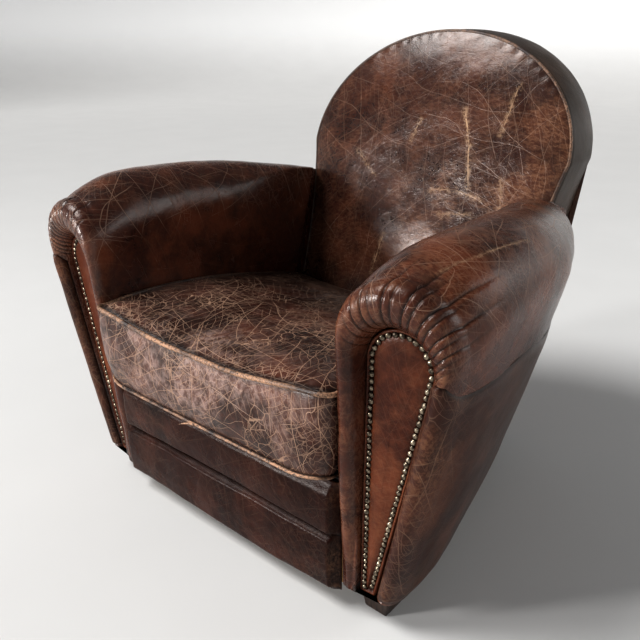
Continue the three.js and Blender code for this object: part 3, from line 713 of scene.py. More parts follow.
def facing_outline(margin, underside=True):
    """Keyhole outline (x, z), inner foot first, one point for each column of the arm."""
    cx, cz = KEYHOLE
    radius = KEYHOLE_RADIUS + margin
    foot_z = -margin if margin < 0.004 else -0.004
    inner_foot = np.array([FACING_FOOT[0] - margin, foot_z])
    outer_foot = np.array([FACING_FOOT[1] + margin, foot_z])
    begin = touch_angle(*inner_foot, cx, cz, radius, False)
    end = touch_angle(*outer_foot, cx, cz, radius, True)
    begin = begin - 2 * math.pi if begin > math.pi * 1.5 else begin

    def on_circle(angle):
        return np.stack([cx + radius * np.cos(angle), cz + radius * np.sin(angle)], axis=-1)

    inner, arch, outer, under = (np.arange(count)[:, None] / count for _, count in ARM_COLUMNS)
    parts = [lerp(inner_foot, on_circle(begin), inner), on_circle(lerp(begin, end, arch[:, 0])),
             lerp(on_circle(end), outer_foot, outer)]
    if underside:
        parts.append(lerp(outer_foot, inner_foot, under))
    return np.vstack(parts)


# Gathered folds round the arm front: place over the arch, reach rearwards, depth, width, slant.
FOLDS = [
    (0.10, 0.050, 0.0014, 0.0030, 0.00), (0.17, 0.060, 0.0018, 0.0032, 0.01),
    (0.235, 0.085, 0.0026, 0.0034, 0.01), (0.30, 0.100, 0.0032, 0.0036, 0.02),
    (0.365, 0.070, 0.0020, 0.0032, 0.00), (0.42, 0.120, 0.0036, 0.0038, 0.03),
    (0.475, 0.090, 0.0028, 0.0034, 0.02), (0.53, 0.135, 0.0038, 0.0040, 0.04),
    (0.585, 0.110, 0.0034, 0.0036, 0.03), (0.635, 0.150, 0.0040, 0.0042, 0.05),
    (0.69, 0.100, 0.0030, 0.0036, 0.03), (0.735, 0.140, 0.0036, 0.0040, 0.05),
    (0.79, 0.090, 0.0026, 0.0034, 0.03), (0.835, 0.110, 0.0028, 0.0036, 0.03),
    (0.885, 0.070, 0.0020, 0.0032, 0.01), (0.93, 0.060, 0.0016, 0.0030, 0.00),
]


def pleats(grid, run, seed):
    """Height of the gathered folds, and the painted shade along their valleys, for a grid of the
    arm's front and roll.
    """
    arch = COLUMN_KIND == ARCH
    place = np.where(arch, COLUMN_SHARE, np.where(COLUMN_KIND == INNER, COLUMN_SHARE - 1, 9.0))
    place = np.broadcast_to(place, run.shape)
    length = np.linalg.norm(np.diff(grid[:, arch], axis=1), axis=2).sum(axis=1)[:, None]
    height, dark = np.zeros(run.shape), np.zeros(run.shape)
    wander = fbm(np.stack([run * 1.0, place * 0.4, run * 0], axis=-1), 16.0, 2, seed + 3)
    for k, (at, reach, depth, width, slant) in enumerate(FOLDS):
        jitter = 0.008 * math.sin(12.9 * k + 3.1 * seed)
        line = at + jitter + slant * run / 0.1 + 0.012 * wander
        away = (place - line) * length
        fade = smooth(run, 0.0, 0.008) * (1 - smooth(run, reach * 0.50, reach * 1.5))
        spread = width * 0.50 * (0.75 + run / 0.11)
        valley = np.exp(-(away / spread) ** 2)
        sharp = np.exp(-(away / (0.35 * spread + 0.0004)) ** 2)
        side = np.exp(-((away - 1.7 * spread) / (1.3 * spread)) ** 2)
        height += 0.55 * fade * depth * (0.35 * side - 0.70 * valley - 0.7 * sharp)
        # Painted shade along each fold's sharp valley.
        dark = np.maximum(dark, fade ** 0.7 * sharp * min(1.0, depth / 0.0020))
    return height, dark


def outside_back_plane(x, z):
    """Depth of the bowed, leaning plane that the outside back lies on."""
    return 0.269 + (z - 0.050) * 0.205 - 0.022 * (x / 0.300) ** 2


def arm_form():
    """The right arm's plain form, and the distance run over it from the facing's groove."""
    kind = COLUMN_KIND
    columns = len(kind)
    front, arm_rear = ARM_STATIONS[0, 0] + 0.035, ARM_STATIONS[-1, 0]
    # Depths behind the rounded front, ending on the sloping plane of the outside back.
    share = np.linspace(0, 1, 96) ** 1.15
    rear = arm_section(np.full((1, columns), arm_rear))[0]
    rear_y = np.minimum(arm_rear, outside_back_plane(rear[:, 0], rear[:, 2]) - 0.0015)
    body = arm_section(lerp(front, rear_y[None, :], share[:, None]))
    # The rounded front, from the groove at the facing round to the first section.
    groove_outline = facing_outline(0.0006)
    groove = np.stack([groove_outline[:, 0], np.full(columns, 0.007), groove_outline[:, 1]], axis=1)
    groove = place_facing(groove)
    edge = body[0]
    middle = (groove + edge) / 2
    crest = ARM_STATIONS[0, 0] - 0.97 * front_slope(middle[:, 0], middle[:, 2])
    push_in = 1.36 * (groove[:, 1] - crest)
    push_out = 1.36 * (edge[:, 1] - crest)
    across = edge - groove
    across[:, 1] = 0
    first = groove + across * 0.10 - np.stack([0 * crest, push_in, 0 * crest], axis=1)
    second = edge + across * 0.04 - np.stack([0 * crest, push_out, 0 * crest], axis=1)
    t = np.linspace(0, 1, 31)[:-1, None, None]
    roll = (groove * (1 - t) ** 3 + 3 * first * t * (1 - t) ** 2
            + 3 * second * t ** 2 * (1 - t) + edge * t ** 3)
    roll[:, kind == UNDER, 2] = FOOT_TOP
    # Beside the seat the leather stays in front of the rail's end.
    wall_x = edge[:, 0][None, :]
    low = (kind == INNER)[None, :] & (roll[..., 2] < 0.24) & (roll[..., 0] < 0.2992)
    forwards = smooth(roll[..., 0] - wall_x, 0.0, 0.004)
    held = lerp(roll[..., 1], np.minimum(roll[..., 1], -0.3765), forwards)
    roll[..., 1] = np.where(low, held, roll[..., 1])
    grid = np.concatenate([roll, body])
    # Distance run over the leather from the groove.
    steps = np.linalg.norm(np.diff(grid, axis=0), axis=2)
    return grid, np.concatenate([np.zeros((1, columns)), np.cumsum(steps, axis=0)])


def clear_of_back(grid):
    """The arm makes way for the padded back, but not through its own outer wall."""
    kind = COLUMN_KIND
    lean_y, lean_z = grid[..., 1] - BACK_ORIGIN[1], grid[..., 2] - BACK_ORIGIN[2]
    cos, sin = math.cos(BACK_LEAN), math.sin(BACK_LEAN)
    depth = lean_y * cos - lean_z * sin
    up = lean_y * sin + lean_z * cos
    target = np.where((up > -0.2) & (up < ARCH_START + 0.15), back_half_width(up) + 0.004, 0)
    outer = kind == OUTER
    wall = [np.interp(row[:, 2], row[outer, 2][::-1], row[outer, 0][::-1]) for row in grid]
    target = np.minimum(target, np.stack(wall) - 0.015)
    inner_side = np.where(kind == ARCH, 1 - smooth(COLUMN_SHARE, 0.40, 0.60), kind == INNER)
    weight = smooth(depth, -0.042, -0.004) * inner_side[None, :]
    return np.maximum(grid[..., 0], lerp(grid[..., 0], target, weight))


def arm_skin(side, seed, material):
    """The leather skin of one arm. Gives its plain form, normals and run, for the outer panel."""
    kind = COLUMN_KIND
    columns = len(kind)
    under = kind == UNDER
    grid, run = arm_form()
    normal = outward_normals(grid)
    height, dark = pleats(grid, run, seed)
    soft = fbm(grid, 9.0, 2, seed) * 0.0022 + fbm(grid, 34.0, 2, seed + 1) * 0.0007
    calm = np.where(under, 0.0, 1.0)[None, :] * smooth(run, 0.0, 0.02)
    # A stitched joint across the band of leather between the seat and the facing.
    inner_band = np.broadcast_to(kind == INNER, run.shape)
    seam_z = INNER_SEAM_Z + 0.002 * np.sin(run * 120)
    near_front = inner_band * (1 - smooth(run, 0.075, 0.11))
    seam = np.exp(-((grid[..., 2] - seam_z) / 0.0014) ** 2) * near_front
    lip = smooth(seam_z - grid[..., 2], -0.001, 0.001) * near_front
    height = height * (1.0 if side > 0 else 0.68)
    height = height + calm * soft - 0.0014 * seam + 0.0008 * lip
    height = height * np.where(under, 0, 1)[None, :]
    # Below the outer seam the skin stays inside the panel that covers it.
    panel_top = OUTER_SEAM_Z - 0.20 * np.clip(grid[..., 1] + 0.150, 0, None)
    covered = smooth(panel_top - 0.006 - grid[..., 2], 0.0, 0.012) * (kind == OUTER)[None, :]
    height = lerp(height, -0.0010, covered)
    bare = (grid, normal, run)
    grid = grid + normal * height[..., None]
    grid[..., 0] = clear_of_back(grid)
    # The rear end is closed by rings drawn in to a middle, the front by rings behind the facing.
    end = grid[-1]
    rear_cap = [lerp(end, end.mean(axis=0), share) for share in (0.08, 0.35, 0.7, 0.97)]
    front_cap = []
    for line in (facing_outline(-0.0125), facing_outline(-0.006)):
        flat = np.stack([line[:, 0], np.full(columns, 0.0085), line[:, 1]], axis=1)
        front_cap.append(place_facing(flat))
    grid = np.concatenate([np.stack(front_cap), grid, np.stack(rear_cap)])
    pad = ((len(front_cap), len(rear_cap)), (0, 0))
    run, dark, seam = (np.pad(item, pad, mode="edge") for item in (run, dark, seam))
    x, y, z = grid[..., 0], grid[..., 1], grid[..., 2]
    top = smooth(z, 0.50, 0.58)
    wear = 0.18 + 0.35 * top + 0.5 * bump(run, 0.05, 0.035) * smooth(z, 0.40, 0.50)
    wear = wear + 0.45 * (1 - smooth(run, 0.02, 0.12)) * (z < 0.42)
    beside_nails = np.where(kind == ARCH, bump(COLUMN_SHARE, 0.90, 0.10), 0.0)[None, :]
    wear = wear + 0.9 * beside_nails * bump(run, 0.045, 0.035)
    crack = 0.25 + 0.75 * smooth(z, 0.47, 0.56) + 0.15 * (1 - smooth(run, 0.05, 0.2))
    crack = np.where(kind == INNER, crack * 0.5, crack)
    # Painted grey sheen on the outer side towards the rear, and a little on the top.
    tone = 0.8 * smooth(y, -0.25, 0.1) * smooth(x, 0.34, 0.43) + 0.15 * top
    # Grime and painted shade in the folds' valleys, at the stitched joint and in the groove at the
    # facing.
    fold = np.clip(dark + 0.6 * seam + (1 - smooth(run, 0.001, 0.010)) * 0.95, 0, 1)
    name = SIDE_NAMES[side]
    add_piece(f"{name}_arm_leather", grid * (side, 1, 1), capped_faces(*grid.shape[:2]), material,
              "leather", f"{name}_arm_pad", fill=0.8, wear=wear, crack=crack,
              tone=np.clip(tone, 0, 1), fold=fold)
    return bare


NAIL_PITCH = 0.0104
NAIL_RADIUS = 0.0043

# Margin from the facing's edge, and depth of the leather there (negative is forwards).
FACING_PROFILE = [
    (-0.0002, 0.008), (-0.0002, 0.002), (-0.0006, -0.0012), (-0.0018, -0.0027),
    (-0.0032, -0.0026), (-0.0042, -0.0012), (-0.0052, 0.0004), (-0.0070, 0.0012),
    (-0.0092, 0.0010), (-0.0110, 0.0000), (-0.0125, -0.0008),
]


def facing_panel(side, material):
    """The keyhole panel on the arm's front, with a raised lip that the nails stand beside."""
    rings = [facing_outline(margin) for margin, _ in FACING_PROFILE]
    depths = [depth for _, depth in FACING_PROFILE]
    inner = rings[-1]
    middle_x = np.interp(inner[:, 1], [0, KEYHOLE[1]], [sum(FACING_FOOT) / 2, KEYHOLE[0]])
    spine = np.stack([middle_x, np.minimum(inner[:, 1], KEYHOLE[1])], axis=1)
    for share in (0.2, 0.4, 0.6, 0.8, 0.93, 0.985):
        rings.append(lerp(inner, spine, share))
        depths.append(-0.0008 - 0.0022 * math.sin(share * math.pi / 2))
    x, z = np.moveaxis(np.stack(rings), -1, 0)
    depth = np.array(depths)[:, None] + 0 * x
    # Fine cross wrinkles, and the leather drawn in at each nail.
    ripple = np.sin((z * 2 * math.pi / 0.0075) + 3 * np.sin(x * 90) + 2 * np.sin(z * 41))
    inside = (np.arange(len(rings)) >= len(FACING_PROFILE) - 1)[:, None]
    patch = bump(z, 0.26, 0.09) + 0.6 * bump(z, 0.13, 0.05)
    depth = depth + inside * patch * 0.00025 * ripple
    steps = np.linalg.norm(np.diff(rings[7], axis=0), axis=1)
    run = np.concatenate([[0], np.cumsum(steps)])
    depth[4:10] += 0.0006 * (0.5 + 0.5 * np.cos(run / NAIL_PITCH * 2 * math.pi))
    grid = place_facing(np.stack([x, depth, z], axis=-1))
    grid = np.concatenate([grid[:1] + np.array([0, 0.0005, 0]), grid])
    # Grime and painted shade lie in the groove round the lip and where the nails stand.
    row = np.arange(len(grid))[:, None]
    fold = np.where(row < 2, 1.0, np.where((row >= 7) & (row < 10), 0.75, 0.0))
    wear = np.where((row >= 3) & (row < 6), 0.3, 0.22)
    name = SIDE_NAMES[side]
    add_piece(f"{name}_facing_leather", grid * (side, 1, 1), capped_faces(*grid.shape[:2]),
              material, "leather", f"{name}_arm_facing", fill=0.9, wear=wear, crack=0.35, fold=fold)


def nail_dome():
    """One nail about its middle: rings of a dome for a radius of 1, and a short shank in metres."""
    rings, sides = 6, 14
    turn = 2 * math.pi * np.arange(sides) / sides
    circle = np.stack([np.cos(turn), 0 * turn, np.sin(turn)], axis=1)
    levels = [np.array([[0, -0.62, 0]])]
    for ring in range(1, rings + 1):
        angle = ring / rings * math.pi / 2
        flare = 1.06 if ring == rings else 1.0
        rise = -0.62 * math.cos(angle) ** 0.9 if ring < rings else 0.0
        levels.append(circle * flare * math.sin(angle) + np.array([0, rise, 0]))
    levels.append(0.35 * circle)
    faces = [[0, 1 + k, 1 + (k + 1) % sides] for k in range(sides)]
    for ring in range(rings):
        a, b = 1 + ring * sides, 1 + (ring + 1) * sides
        faces += [[a + k, b + k, b + (k + 1) % sides, a + (k + 1) % sides] for k in range(sides)]
    faces.append([1 + rings * sides + k for k in reversed(range(sides))])
    return np.concatenate(levels), faces, sides


def nail_row(side, material, seed):
    """Separate domed nails along the facing, slightly uneven as if set by hand."""
    outline = facing_outline(-0.0078, underside=False)
    route = np.stack([outline[:, 0], np.full(len(outline), -0.0002), outline[:, 1]], axis=1)
    random = np.random.default_rng(seed)
    shape, dome_faces, sides = nail_dome()
    points, faces, wear = [], [], []
    for place in resample(route, NAIL_PITCH):
        if place[2] < 0.004:
            continue
        radius = NAIL_RADIUS * random.uniform(0.95, 1.05)
        tilt = random.normal(0, 0.10, 2)
        shift = random.normal(0, 0.0004, 2)
        dome = shape * radius
        dome[-sides:, 1] = 0.0022
        dome[:, 1] += dome[:, 0] * tilt[0] + dome[:, 2] * tilt[1]
        dome += place + np.array([shift[0], -0.0005, shift[1]])
        faces += [[i + len(points) * len(dome) for i in face] for face in dome_faces]
        points.append(dome)
        wear.append(np.full(len(dome), random.uniform(0.2, 1.0)))
    name = SIDE_NAMES[side]
    grid = place_facing(np.vstack(points)) * (side, 1, 1)
    add_piece(f"{name}_facing_nails", grid, faces, material, "brass_nails", f"{name}_nail_trim",
              wear=np.concatenate(wear))


def outside_panel(side, seed, material, bare):
    """The leather below the roll, from the nails round to the rear, folded under along its top."""
    grid, normal, run = (item[5:] for item in bare)
    normal = np.concatenate([normal[:-1], normal[-2:-1]])
    outer = np.flatnonzero((COLUMN_KIND == OUTER) | (COLUMN_KIND == ARCH))
    outer = outer[len(outer) // 2:]
    steps, rows = len(grid), 56
    v = np.linspace(0, 1, rows)
    place, facing = np.empty((2, steps, rows, 3))
    for i in range(steps):
        line, turn = grid[i, outer], normal[i, outer]
        y = line[:, 1]
        top = OUTER_SEAM_Z + 0.0295 * np.exp(-np.clip(y + 0.393, 0, None) / 0.024)
        top = top - 0.20 * np.clip(y + 0.150, 0, None)
        above = np.flatnonzero(line[:, 2] > top)
        at_top = float(above[-1]) if len(above) else 0.0
        k = int(at_top)
        if k + 1 < len(line):
            gap_here, gap_next = line[k, 2] - top[k], top[k + 1] - line[k + 1, 2]
            at_top += gap_here / max(gap_here + gap_next, 1e-9)
        at = lerp(at_top, len(line) - 1.02, v)
        low = np.floor(at).astype(int)
        part = (at - low)[:, None]
        place[i] = lerp(line[low], line[low + 1], part)
        facing[i] = lerp(turn[low], turn[low + 1], part)
    u = run[:, outer].mean(axis=1)
    u = ((u - u[0]) / (u[-1] - u[0]))[:, None]
    from_front = (run[:, outer].mean(axis=1) - run[0, outer].mean())[:, None]
    edge = np.minimum(v[None, :] / 0.030, np.minimum(from_front / 0.012, (1 - u) / 0.012))
    lift = 0.0006 + 0.0027 * smooth(edge, 0, 1)
    soft = fbm(place, 9.0, 2, seed) * 0.0016 + fbm(place, 36.0, 2, seed) * 0.0005
    hem = bump(v[None, :], 0.07, 0.04) * 0.0006
    lift = lift + (soft + hem) * smooth(edge, 0, 1)
    points, faces = two_sided(place + facing * lift[..., None], place + facing * 0.0003)
    # Painted shade in the groove along the turned-under top and at the front edge.
    groove = (1 - smooth(v[None, :] / 0.022)) + (1 - smooth(from_front / 0.007))
    band = 1 - smooth(from_front, 0.05, 0.13)
    z = place[..., 2]
    wear = 0.18 + 0.5 * band * bump(z, 0.36, 0.12) + 0.25 * bump(z, 0.07, 0.03)
    name = SIDE_NAMES[side]
    # Painted grey sheen towards the rear of the panel.
    add_piece(f"{name}_outside_panel_leather", points * (side, 1, 1), faces, material, "leather",
              f"{name}_outside_arm_panel", wear=wear, crack=0.30 + 0.35 * band,
              fold=np.clip(groove, 0, 1) * 0.9, tone=0.45 * smooth(from_front, 0.12, 0.40))


# ---- Back --------------------------------------------------------------------------------
def lean_back(points):
    """From [x, depth, height] in the back's own frame to the row."""
    return tilted(points, BACK_LEAN, BACK_ORIGIN)


def back_outline(bottom, inset, side_steps=60, arch_steps=170):
    """Outline of the back as (x, height), lower left over the arch to lower right."""
    height = np.linspace(bottom, ARCH_START, side_steps, endpoint=False)
    left = np.stack([-back_half_width(height), height], axis=1)
    angle = math.pi * (1 - np.arange(arch_steps + 1) / arch_steps)
    arch = np.stack([BACK_HALF * np.cos(angle), ARCH_START + ARCH_RISE * np.sin(angle)], axis=1)
    right = np.stack([back_half_width(height[::-1]), height[::-1]], axis=1)
    line = np.concatenate([left, arch, right])
    along = np.gradient(line, axis=0)
    along /= np.linalg.norm(along, axis=1, keepdims=True)
    return line + inset * np.stack([along[:, 1], -along[:, 0]], axis=1)


def inside_back(material):
    """The padded front of the back: a deep crown with an edge that turns in to the piping."""
    line = back_outline(BACK_FOOT, 0.0)
    bottom = np.stack([np.linspace(line[-1, 0], line[0, 0], 62)[1:-1],
                       np.full(60, BACK_FOOT)], axis=1)
    line = np.concatenate([line, bottom])
    middle = np.array([0.0, 0.150])
    scales = np.concatenate([[0.012, 0.03], np.linspace(0.06, 0.90, 66),
                             np.linspace(0.915, 1.0, 12)])
    flat = middle + (line - middle)[None] * scales[:, None, None]
    crown = 0.026 * (1 - scales ** 2.4) ** 0.75
    x, h = flat[..., 0], flat[..., 1]
    depth = -crown[:, None] - 0.001 + 0 * x
    inside = (1 - scales ** 6)[:, None]
    # A body's hollows: shoulders pressed in, a fuller cushion low down.
    depth = depth + inside * (0.006 * bump(x, 0.02, 0.16) * bump(h, 0.24, 0.10)
                              - 0.007 * bump(x, 0.0, 0.20) * bump(h, 0.02, 0.09))
    grid = lean_back(np.stack([x, depth, h], axis=-1))
    ripples = fbm(grid, 7.0, 2, 21) * 0.0030 + fbm(grid, 28.0, 2, 22) * 0.0007
    forward = lean_back(np.array([0.0, -1.0, 0.0])) - lean_back(np.array([0.0, 0.0, 0.0]))
    grid = grid + forward * (ripples * inside)[..., None]
    # Fine pulls that run in from the piping.
    angle = np.arctan2(h - middle[1], x)
    pull = np.sin(angle * 61 + 3 * np.sin(angle * 7)) * bump(scales, 0.97, 0.022)[:, None]
    grid = grid + forward * (0.00045 * pull)[..., None]
    # The edge turns back into the chair.
    edge_rows = []
    for inset, deep in ((0.0015, 0.004), (0.006, 0.012), (0.010, 0.030), (0.014, 0.054)):
        ring = middle + (line - middle) * (1 - inset / 0.30)
        edge_rows.append(np.stack([ring[:, 0], np.full(len(ring), deep), ring[:, 1]], axis=1))
    turned = len(edge_rows)
    grid = np.concatenate([grid, lean_back(np.stack(edge_rows))])
    scales = np.concatenate([scales, np.ones(turned)])[:, None]
    x, h = (np.pad(item, ((0, turned), (0, 0)), mode="edge") for item in (x, h))
    wear = 0.28 + 0.5 * bump(x, 0.12, 0.13) * bump(h, 0.08, 0.13) + 0.35 * smooth(x, 0.08, 0.24)
    crack = 0.42 + 0.30 * bump(x, 0.16, 0.12) * bump(h, 0.16, 0.16)
    # Painted shade near the piping and on the edge that turns back into the chair.
    dark = 0.55 * smooth(scales, 0.972, 0.998)
    dark[-turned:, 0] = 0.7, 1, 1, 1
    # Painted grey sheen towards the edge.
    add_piece("inside_back_leather", grid, capped_faces(*grid.shape[:2]), material, "leather",
              "inside_back", fill=0.7, wear=wear, crack=crack, fold=dark,
              tone=0.20 * smooth(scales, 0.75, 0.98))


def back_piping(material):
    """The piping between the padded front of the back and the band round its edge."""
    line = back_outline(-0.090, 0.002)
    route = lean_back(np.stack([line[:, 0], np.full(len(line), -0.001), line[:, 1]], axis=1))
    route = resample(route, 0.004)
    radius = 0.0031 + 0.0003 * fbm(route, 45.0, 2, 5)
    sides = 10
    points, faces = tube(route, radius, sides, guide=(0, 1, 0.3))
    high = smooth(route[:, 2], 0.45, 0.65) * smooth(route[:, 0], -0.30, 0.25)
    add_piece("back_piping", points, faces, material, "piping", "back_welt",
              wear=np.repeat(0.16 + 0.40 * high, sides))


def band_ring(ring, t):
    """A ring of the band, at a share of the way from the piping to the outside back."""
    near = lean_back(np.stack([ring[:, 0], np.full(len(ring), 0.004), ring[:, 1]], axis=1))
    far = lean_back(np.stack([ring[:, 0], np.full(len(ring), BAND_DEPTH),
                              ring[:, 1] + BAND_LIFT], axis=1))
    gap_near = near[:, 1] - outside_back_plane(near[:, 0], near[:, 2])
    gap_far = far[:, 1] - outside_back_plane(far[:, 0], far[:, 2])
    reach = np.clip((gap_near + 0.0008) / (gap_near - gap_far), 0.9, 1.35)
    return lerp(near, far, (t * reach)[:, None])


def back_band(material):
    """The strip of leather round the edge of the back, from the piping to the outside back."""
    low = back_outline(0.030, 0.006)
    share = np.concatenate([[0.0, 0.01, 0.03, 0.06], np.linspace(0.10, 0.93, 24),
                            [0.96, 0.985, 1.0]])
    rows = []
    for t in share:
        edge = min(t / 0.06, (1 - t) / 0.05, 1.0)
        inset = 0.0012 + 0.0030 * (1 - smooth(edge)) - 0.0035 * math.sin(math.pi * t)
        ring = back_outline(0.030, inset)
        rows.append(band_ring(ring, t))
    for t in (1.0, 0.5, 0.0):
        rows.append(band_ring(low, t))
    grid = np.stack(rows)
    outer = len(share)
    middle = lean_back(np.array([0.0, 0.05, 0.15]))
    away = grid - middle
    away /= np.linalg.norm(away, axis=2, keepdims=True)
    sway = fbm(grid, 10.0, 2, 31) * 0.0016 + fbm(grid, 38.0, 2, 32) * 0.0005
    sway[outer:] = 0
    sway[0] = sway[outer - 1] = 0
    grid = grid + away * sway[..., None]
    total, columns = grid.shape[:2]
    faces = grid_faces(total, columns)
    last = (total - 1) * columns
    faces += [[last + c, last + c + 1, c + 1, c] for c in range(columns - 1)]
    faces.append([r * columns for r in range(total)])
    faces.append([r * columns + columns - 1 for r in reversed(range(total))])
    # Painted shade along both edges of the band.
    edge = np.array([max(0, 1 - min(t / 0.05, (1 - t) / 0.05)) for t in share] + [1, 1, 1])
    # Painted grey sheen, stronger towards the right side.
    tone = np.clip(0.35 + 0.6 * smooth(grid[..., 0], -0.1, 0.28), 0, 1)
    add_piece("back_band_leather", grid, faces, material, "leather", "back_band", fill=0.9,
              wear=0.22, crack=0.15, fold=edge[:, None] * 0.85, tone=tone)


def outside_back(material):
    """The panel behind the chair: it leans, bows in plan, and is turned in at its edge."""
    t = np.linspace(0, 1, 70)
    side = np.stack([lerp(0.232, 0.296, np.sin(t * math.pi / 2)), lerp(0.044, 0.480, t)], axis=1)
    top_side = np.linspace((0.296, 0.480), (0.304, 0.620), 24)[1:-1]
    side = np.concatenate([side, top_side])
    angle = math.pi * (1 - np.arange(161) / 160)
    arch = np.stack([0.304 * np.cos(angle), 0.620 + 0.236 * np.sin(angle)], axis=1)
    left = side * np.array([-1, 1])
    bottom = np.stack([np.linspace(0.232, -0.232, 52)[1:-1], np.full(50, 0.044)], axis=1)
    line = np.concatenate([left, arch, side[::-1], bottom])
    middle = np.array([0.0, 0.430])
    scales = np.concatenate([[0.01, 0.03], np.linspace(0.06, 0.94, 60),
                             [0.955, 0.97, 0.982, 0.992, 1.0]])
    flat = middle + (line - middle)[None] * scales[:, None, None]
    x, z = flat[..., 0], flat[..., 1]
    plane = outside_back_plane(x, z)
    edge = smooth((1 - scales) / 0.03)[:, None]
    hollow = 0.0022 * (1 - scales ** 2)[:, None] * bump(z, 0.45, 0.2)
    y = plane + 0.0015 + 0.0042 * edge - hollow
    grid = np.stack([x, y, z], axis=-1)
    sway = fbm(grid, 6.0, 2, 41) * 0.0018 + fbm(grid, 26.0, 2, 42) * 0.0004
    grid[..., 1] += sway * edge
    # The flat inner side, on the sloping plane.
    inner = np.concatenate([[1.0, 0.93], np.linspace(0.86, 0.03, 24)])
    x, z = np.moveaxis(middle + (line - middle) * inner[:, None, None], -1, 0)
    inner_side = np.stack([x, outside_back_plane(x, z) - 0.0005, z], axis=-1)
    grid = np.concatenate([grid, inner_side])
    z = grid[..., 2]
    wear = 0.22 + 0.35 * bump(z, 0.08, 0.06) + 0.3 * smooth(z, 0.80, 0.86)
    # Painted shade near the turned-in edge and on the hidden inner side.
    fold = np.concatenate([0.6 * smooth(scales, 0.975, 0.995), np.full(len(inner), 0.3)])
    # Painted grey sheen all over the panel.
    add_piece("outside_back_leather", grid, capped_faces(*grid.shape[:2]), material, "leather",
              "outside_back", wear=wear, crack=0.30, fold=fold[:, None], tone=0.25)


# ---- Seat cushion ------------------------------------------------------------------------
def seat_place(points):
    """From the seat's own frame to the row."""
    return tilted(points, DECK_SLOPE, SEAT_ORIGIN)


CUSHION_HALF, CUSHION_FRONT, CUSHION_REAR = 0.263, -0.055, 0.464
CUSHION_MIDDLE = np.array([0.0, 0.205])
SEAM_LOW, SEAM_HIGH = 0.038, 0.180


def cushion_plan(corner_front, corner_rear):
    """Plan outline with rounded corners; starts at the rear right."""
    points = []
    half, front, rear = CUSHION_HALF, CUSHION_FRONT, CUSHION_REAR
    spots = [(half, rear, corner_rear), (-half, rear, corner_rear),
             (-half, front, corner_front), (half, front, corner_front)]
    for k, (x, y, r) in enumerate(spots):
        cx, cy = x - math.copysign(r, x), y - (r if y > 0.2 else -r)
        for i in range(17):
            a = (k + i / 16) * math.pi / 2
            points.append([cx + r * math.cos(a), cy + r * math.sin(a)])
    line = np.array(points)
    line = resample(np.stack([line[:, 0], line[:, 1], 0 * line[:, 0]], axis=1), 0.0045, closed=True)
    return line[:, :2]


def cushion_column_grid(count=440):
    """Plans of the lower and the upper seam, with the same number of evenly spread points."""
    plans = []
    for level in (0.0, 1.0):
        line = cushion_plan(lerp(0.058, 0.026, level), 0.040)
        run = np.linspace(0, 1, len(line), endpoint=False)
        at = np.linspace(0, 1, count, endpoint=False)
        closed = np.vstack([line, line[:1]])
        where = np.concatenate([run, [1.0]])
        plan = np.stack([np.interp(at, where, closed[:, k]) for k in (0, 1)], axis=1)
        plans.append(fuller_front(plan, level))
    return plans


def fuller_front(plan, level):
    """In front of the arms the cushion spreads sideways, and its upper edge comes forwards."""
    x, y = plan[:, 0], plan[:, 1]
    ahead = 1 - smooth(y, -0.050, 0.010)
    spread = 1 + (0.066 - 0.012 * level) * (1 - smooth(y, -0.048, -0.006))
    return np.stack([x * spread, y - ahead * lerp(0.008, 0.026, level)], axis=1)


def seam_rise(x, y):
    """How far the upper seam stands above its level, at a place in the seat's frame."""
    along = np.clip((y - CUSHION_FRONT) / (CUSHION_REAR - CUSHION_FRONT), 0, 1)
    sides = np.clip(np.abs(x) / CUSHION_HALF, 0, 1) ** 4
    front = 1 - smooth(along, 0.0, 0.08)
    lift = sides * (0.004 + 0.022 * np.sin(math.pi * along ** 0.8))
    lift = lift + front * (0.016 * smooth(x, 0.06, 0.26) + 0.012 * smooth(-x, 0.06, 0.26) - 0.016)
    return lift - 0.010 * smooth(along, 0.75, 1.0) * (1 - sides)


def sampled(points, places, values):
    """Values known at some places, blended at other points from the nearest four."""
    tree = KDTree(len(places))
    for i, place in enumerate(places):
        tree.insert(place, i)
    tree.balance()
    found = np.zeros((len(points), values.shape[1]))
    for i, point in enumerate(points):
        near = tree.find_n(point, 4)
        weight = np.array([1.0 / (item[2] + 0.0005) for item in near])
        found[i] = weight @ values[[item[1] for item in near]] / weight.sum()
    return found


def blown_up(points, faces, held, pressure, frames, cap, voxel=0.006):
    """How far each point of a closed form moves when cloth simulation fills it with air."""
    scene = bpy.context.scene
    mesh = bpy.data.meshes.new("blown_up")
    mesh.from_pydata([tuple(map(float, p)) for p in points], [], faces)
    body = add_to_scene("blown_up", mesh)
    remesh = body.modifiers.new("remesh", "REMESH")
    remesh.mode = "VOXEL"
    remesh.voxel_size = voxel
    ready = body.evaluated_get(bpy.context.evaluated_depsgraph_get())
    body.data = bpy.data.meshes.new_from_object(ready)
    body.modifiers.clear()
    start = np.array([v.co[:] for v in body.data.vertices])
    pins = sampled(start, points, held[:, None].astype(float))[:, 0]
    group = body.vertex_groups.new(name="held")
    for i, weight in enumerate(pins):
        group.add([i], float(weight), "REPLACE")
    cloth = body.modifiers.new("cloth", "CLOTH")
    cloth.settings.vertex_group_mass = "held"
    cloth.settings.use_pressure = True
    cloth.settings.uniform_pressure_force = pressure
    cloth.settings.effector_weights.gravity = 0.0
    cloth.settings.quality = 5
    cloth.settings.mass = 0.4
    cloth.settings.tension_stiffness = 22
    cloth.settings.compression_stiffness = 22
    cloth.settings.bending_stiffness = 0.9
    cloth.point_cache.frame_start = 1
    cloth.point_cache.frame_end = frames
    for frame_number in range(1, frames + 1):
        scene.frame_set(frame_number)
    ready = body.evaluated_get(bpy.context.evaluated_depsgraph_get())
    moved = np.array([v.co[:] for v in ready.data.vertices]) - start
    scene.frame_set(1)
    bpy.data.objects.remove(body)
    length = np.linalg.norm(moved, axis=1, keepdims=True)
    moved = moved * np.minimum(1.0, cap / np.maximum(length, 1e-9))
    return sampled(points, start, moved)


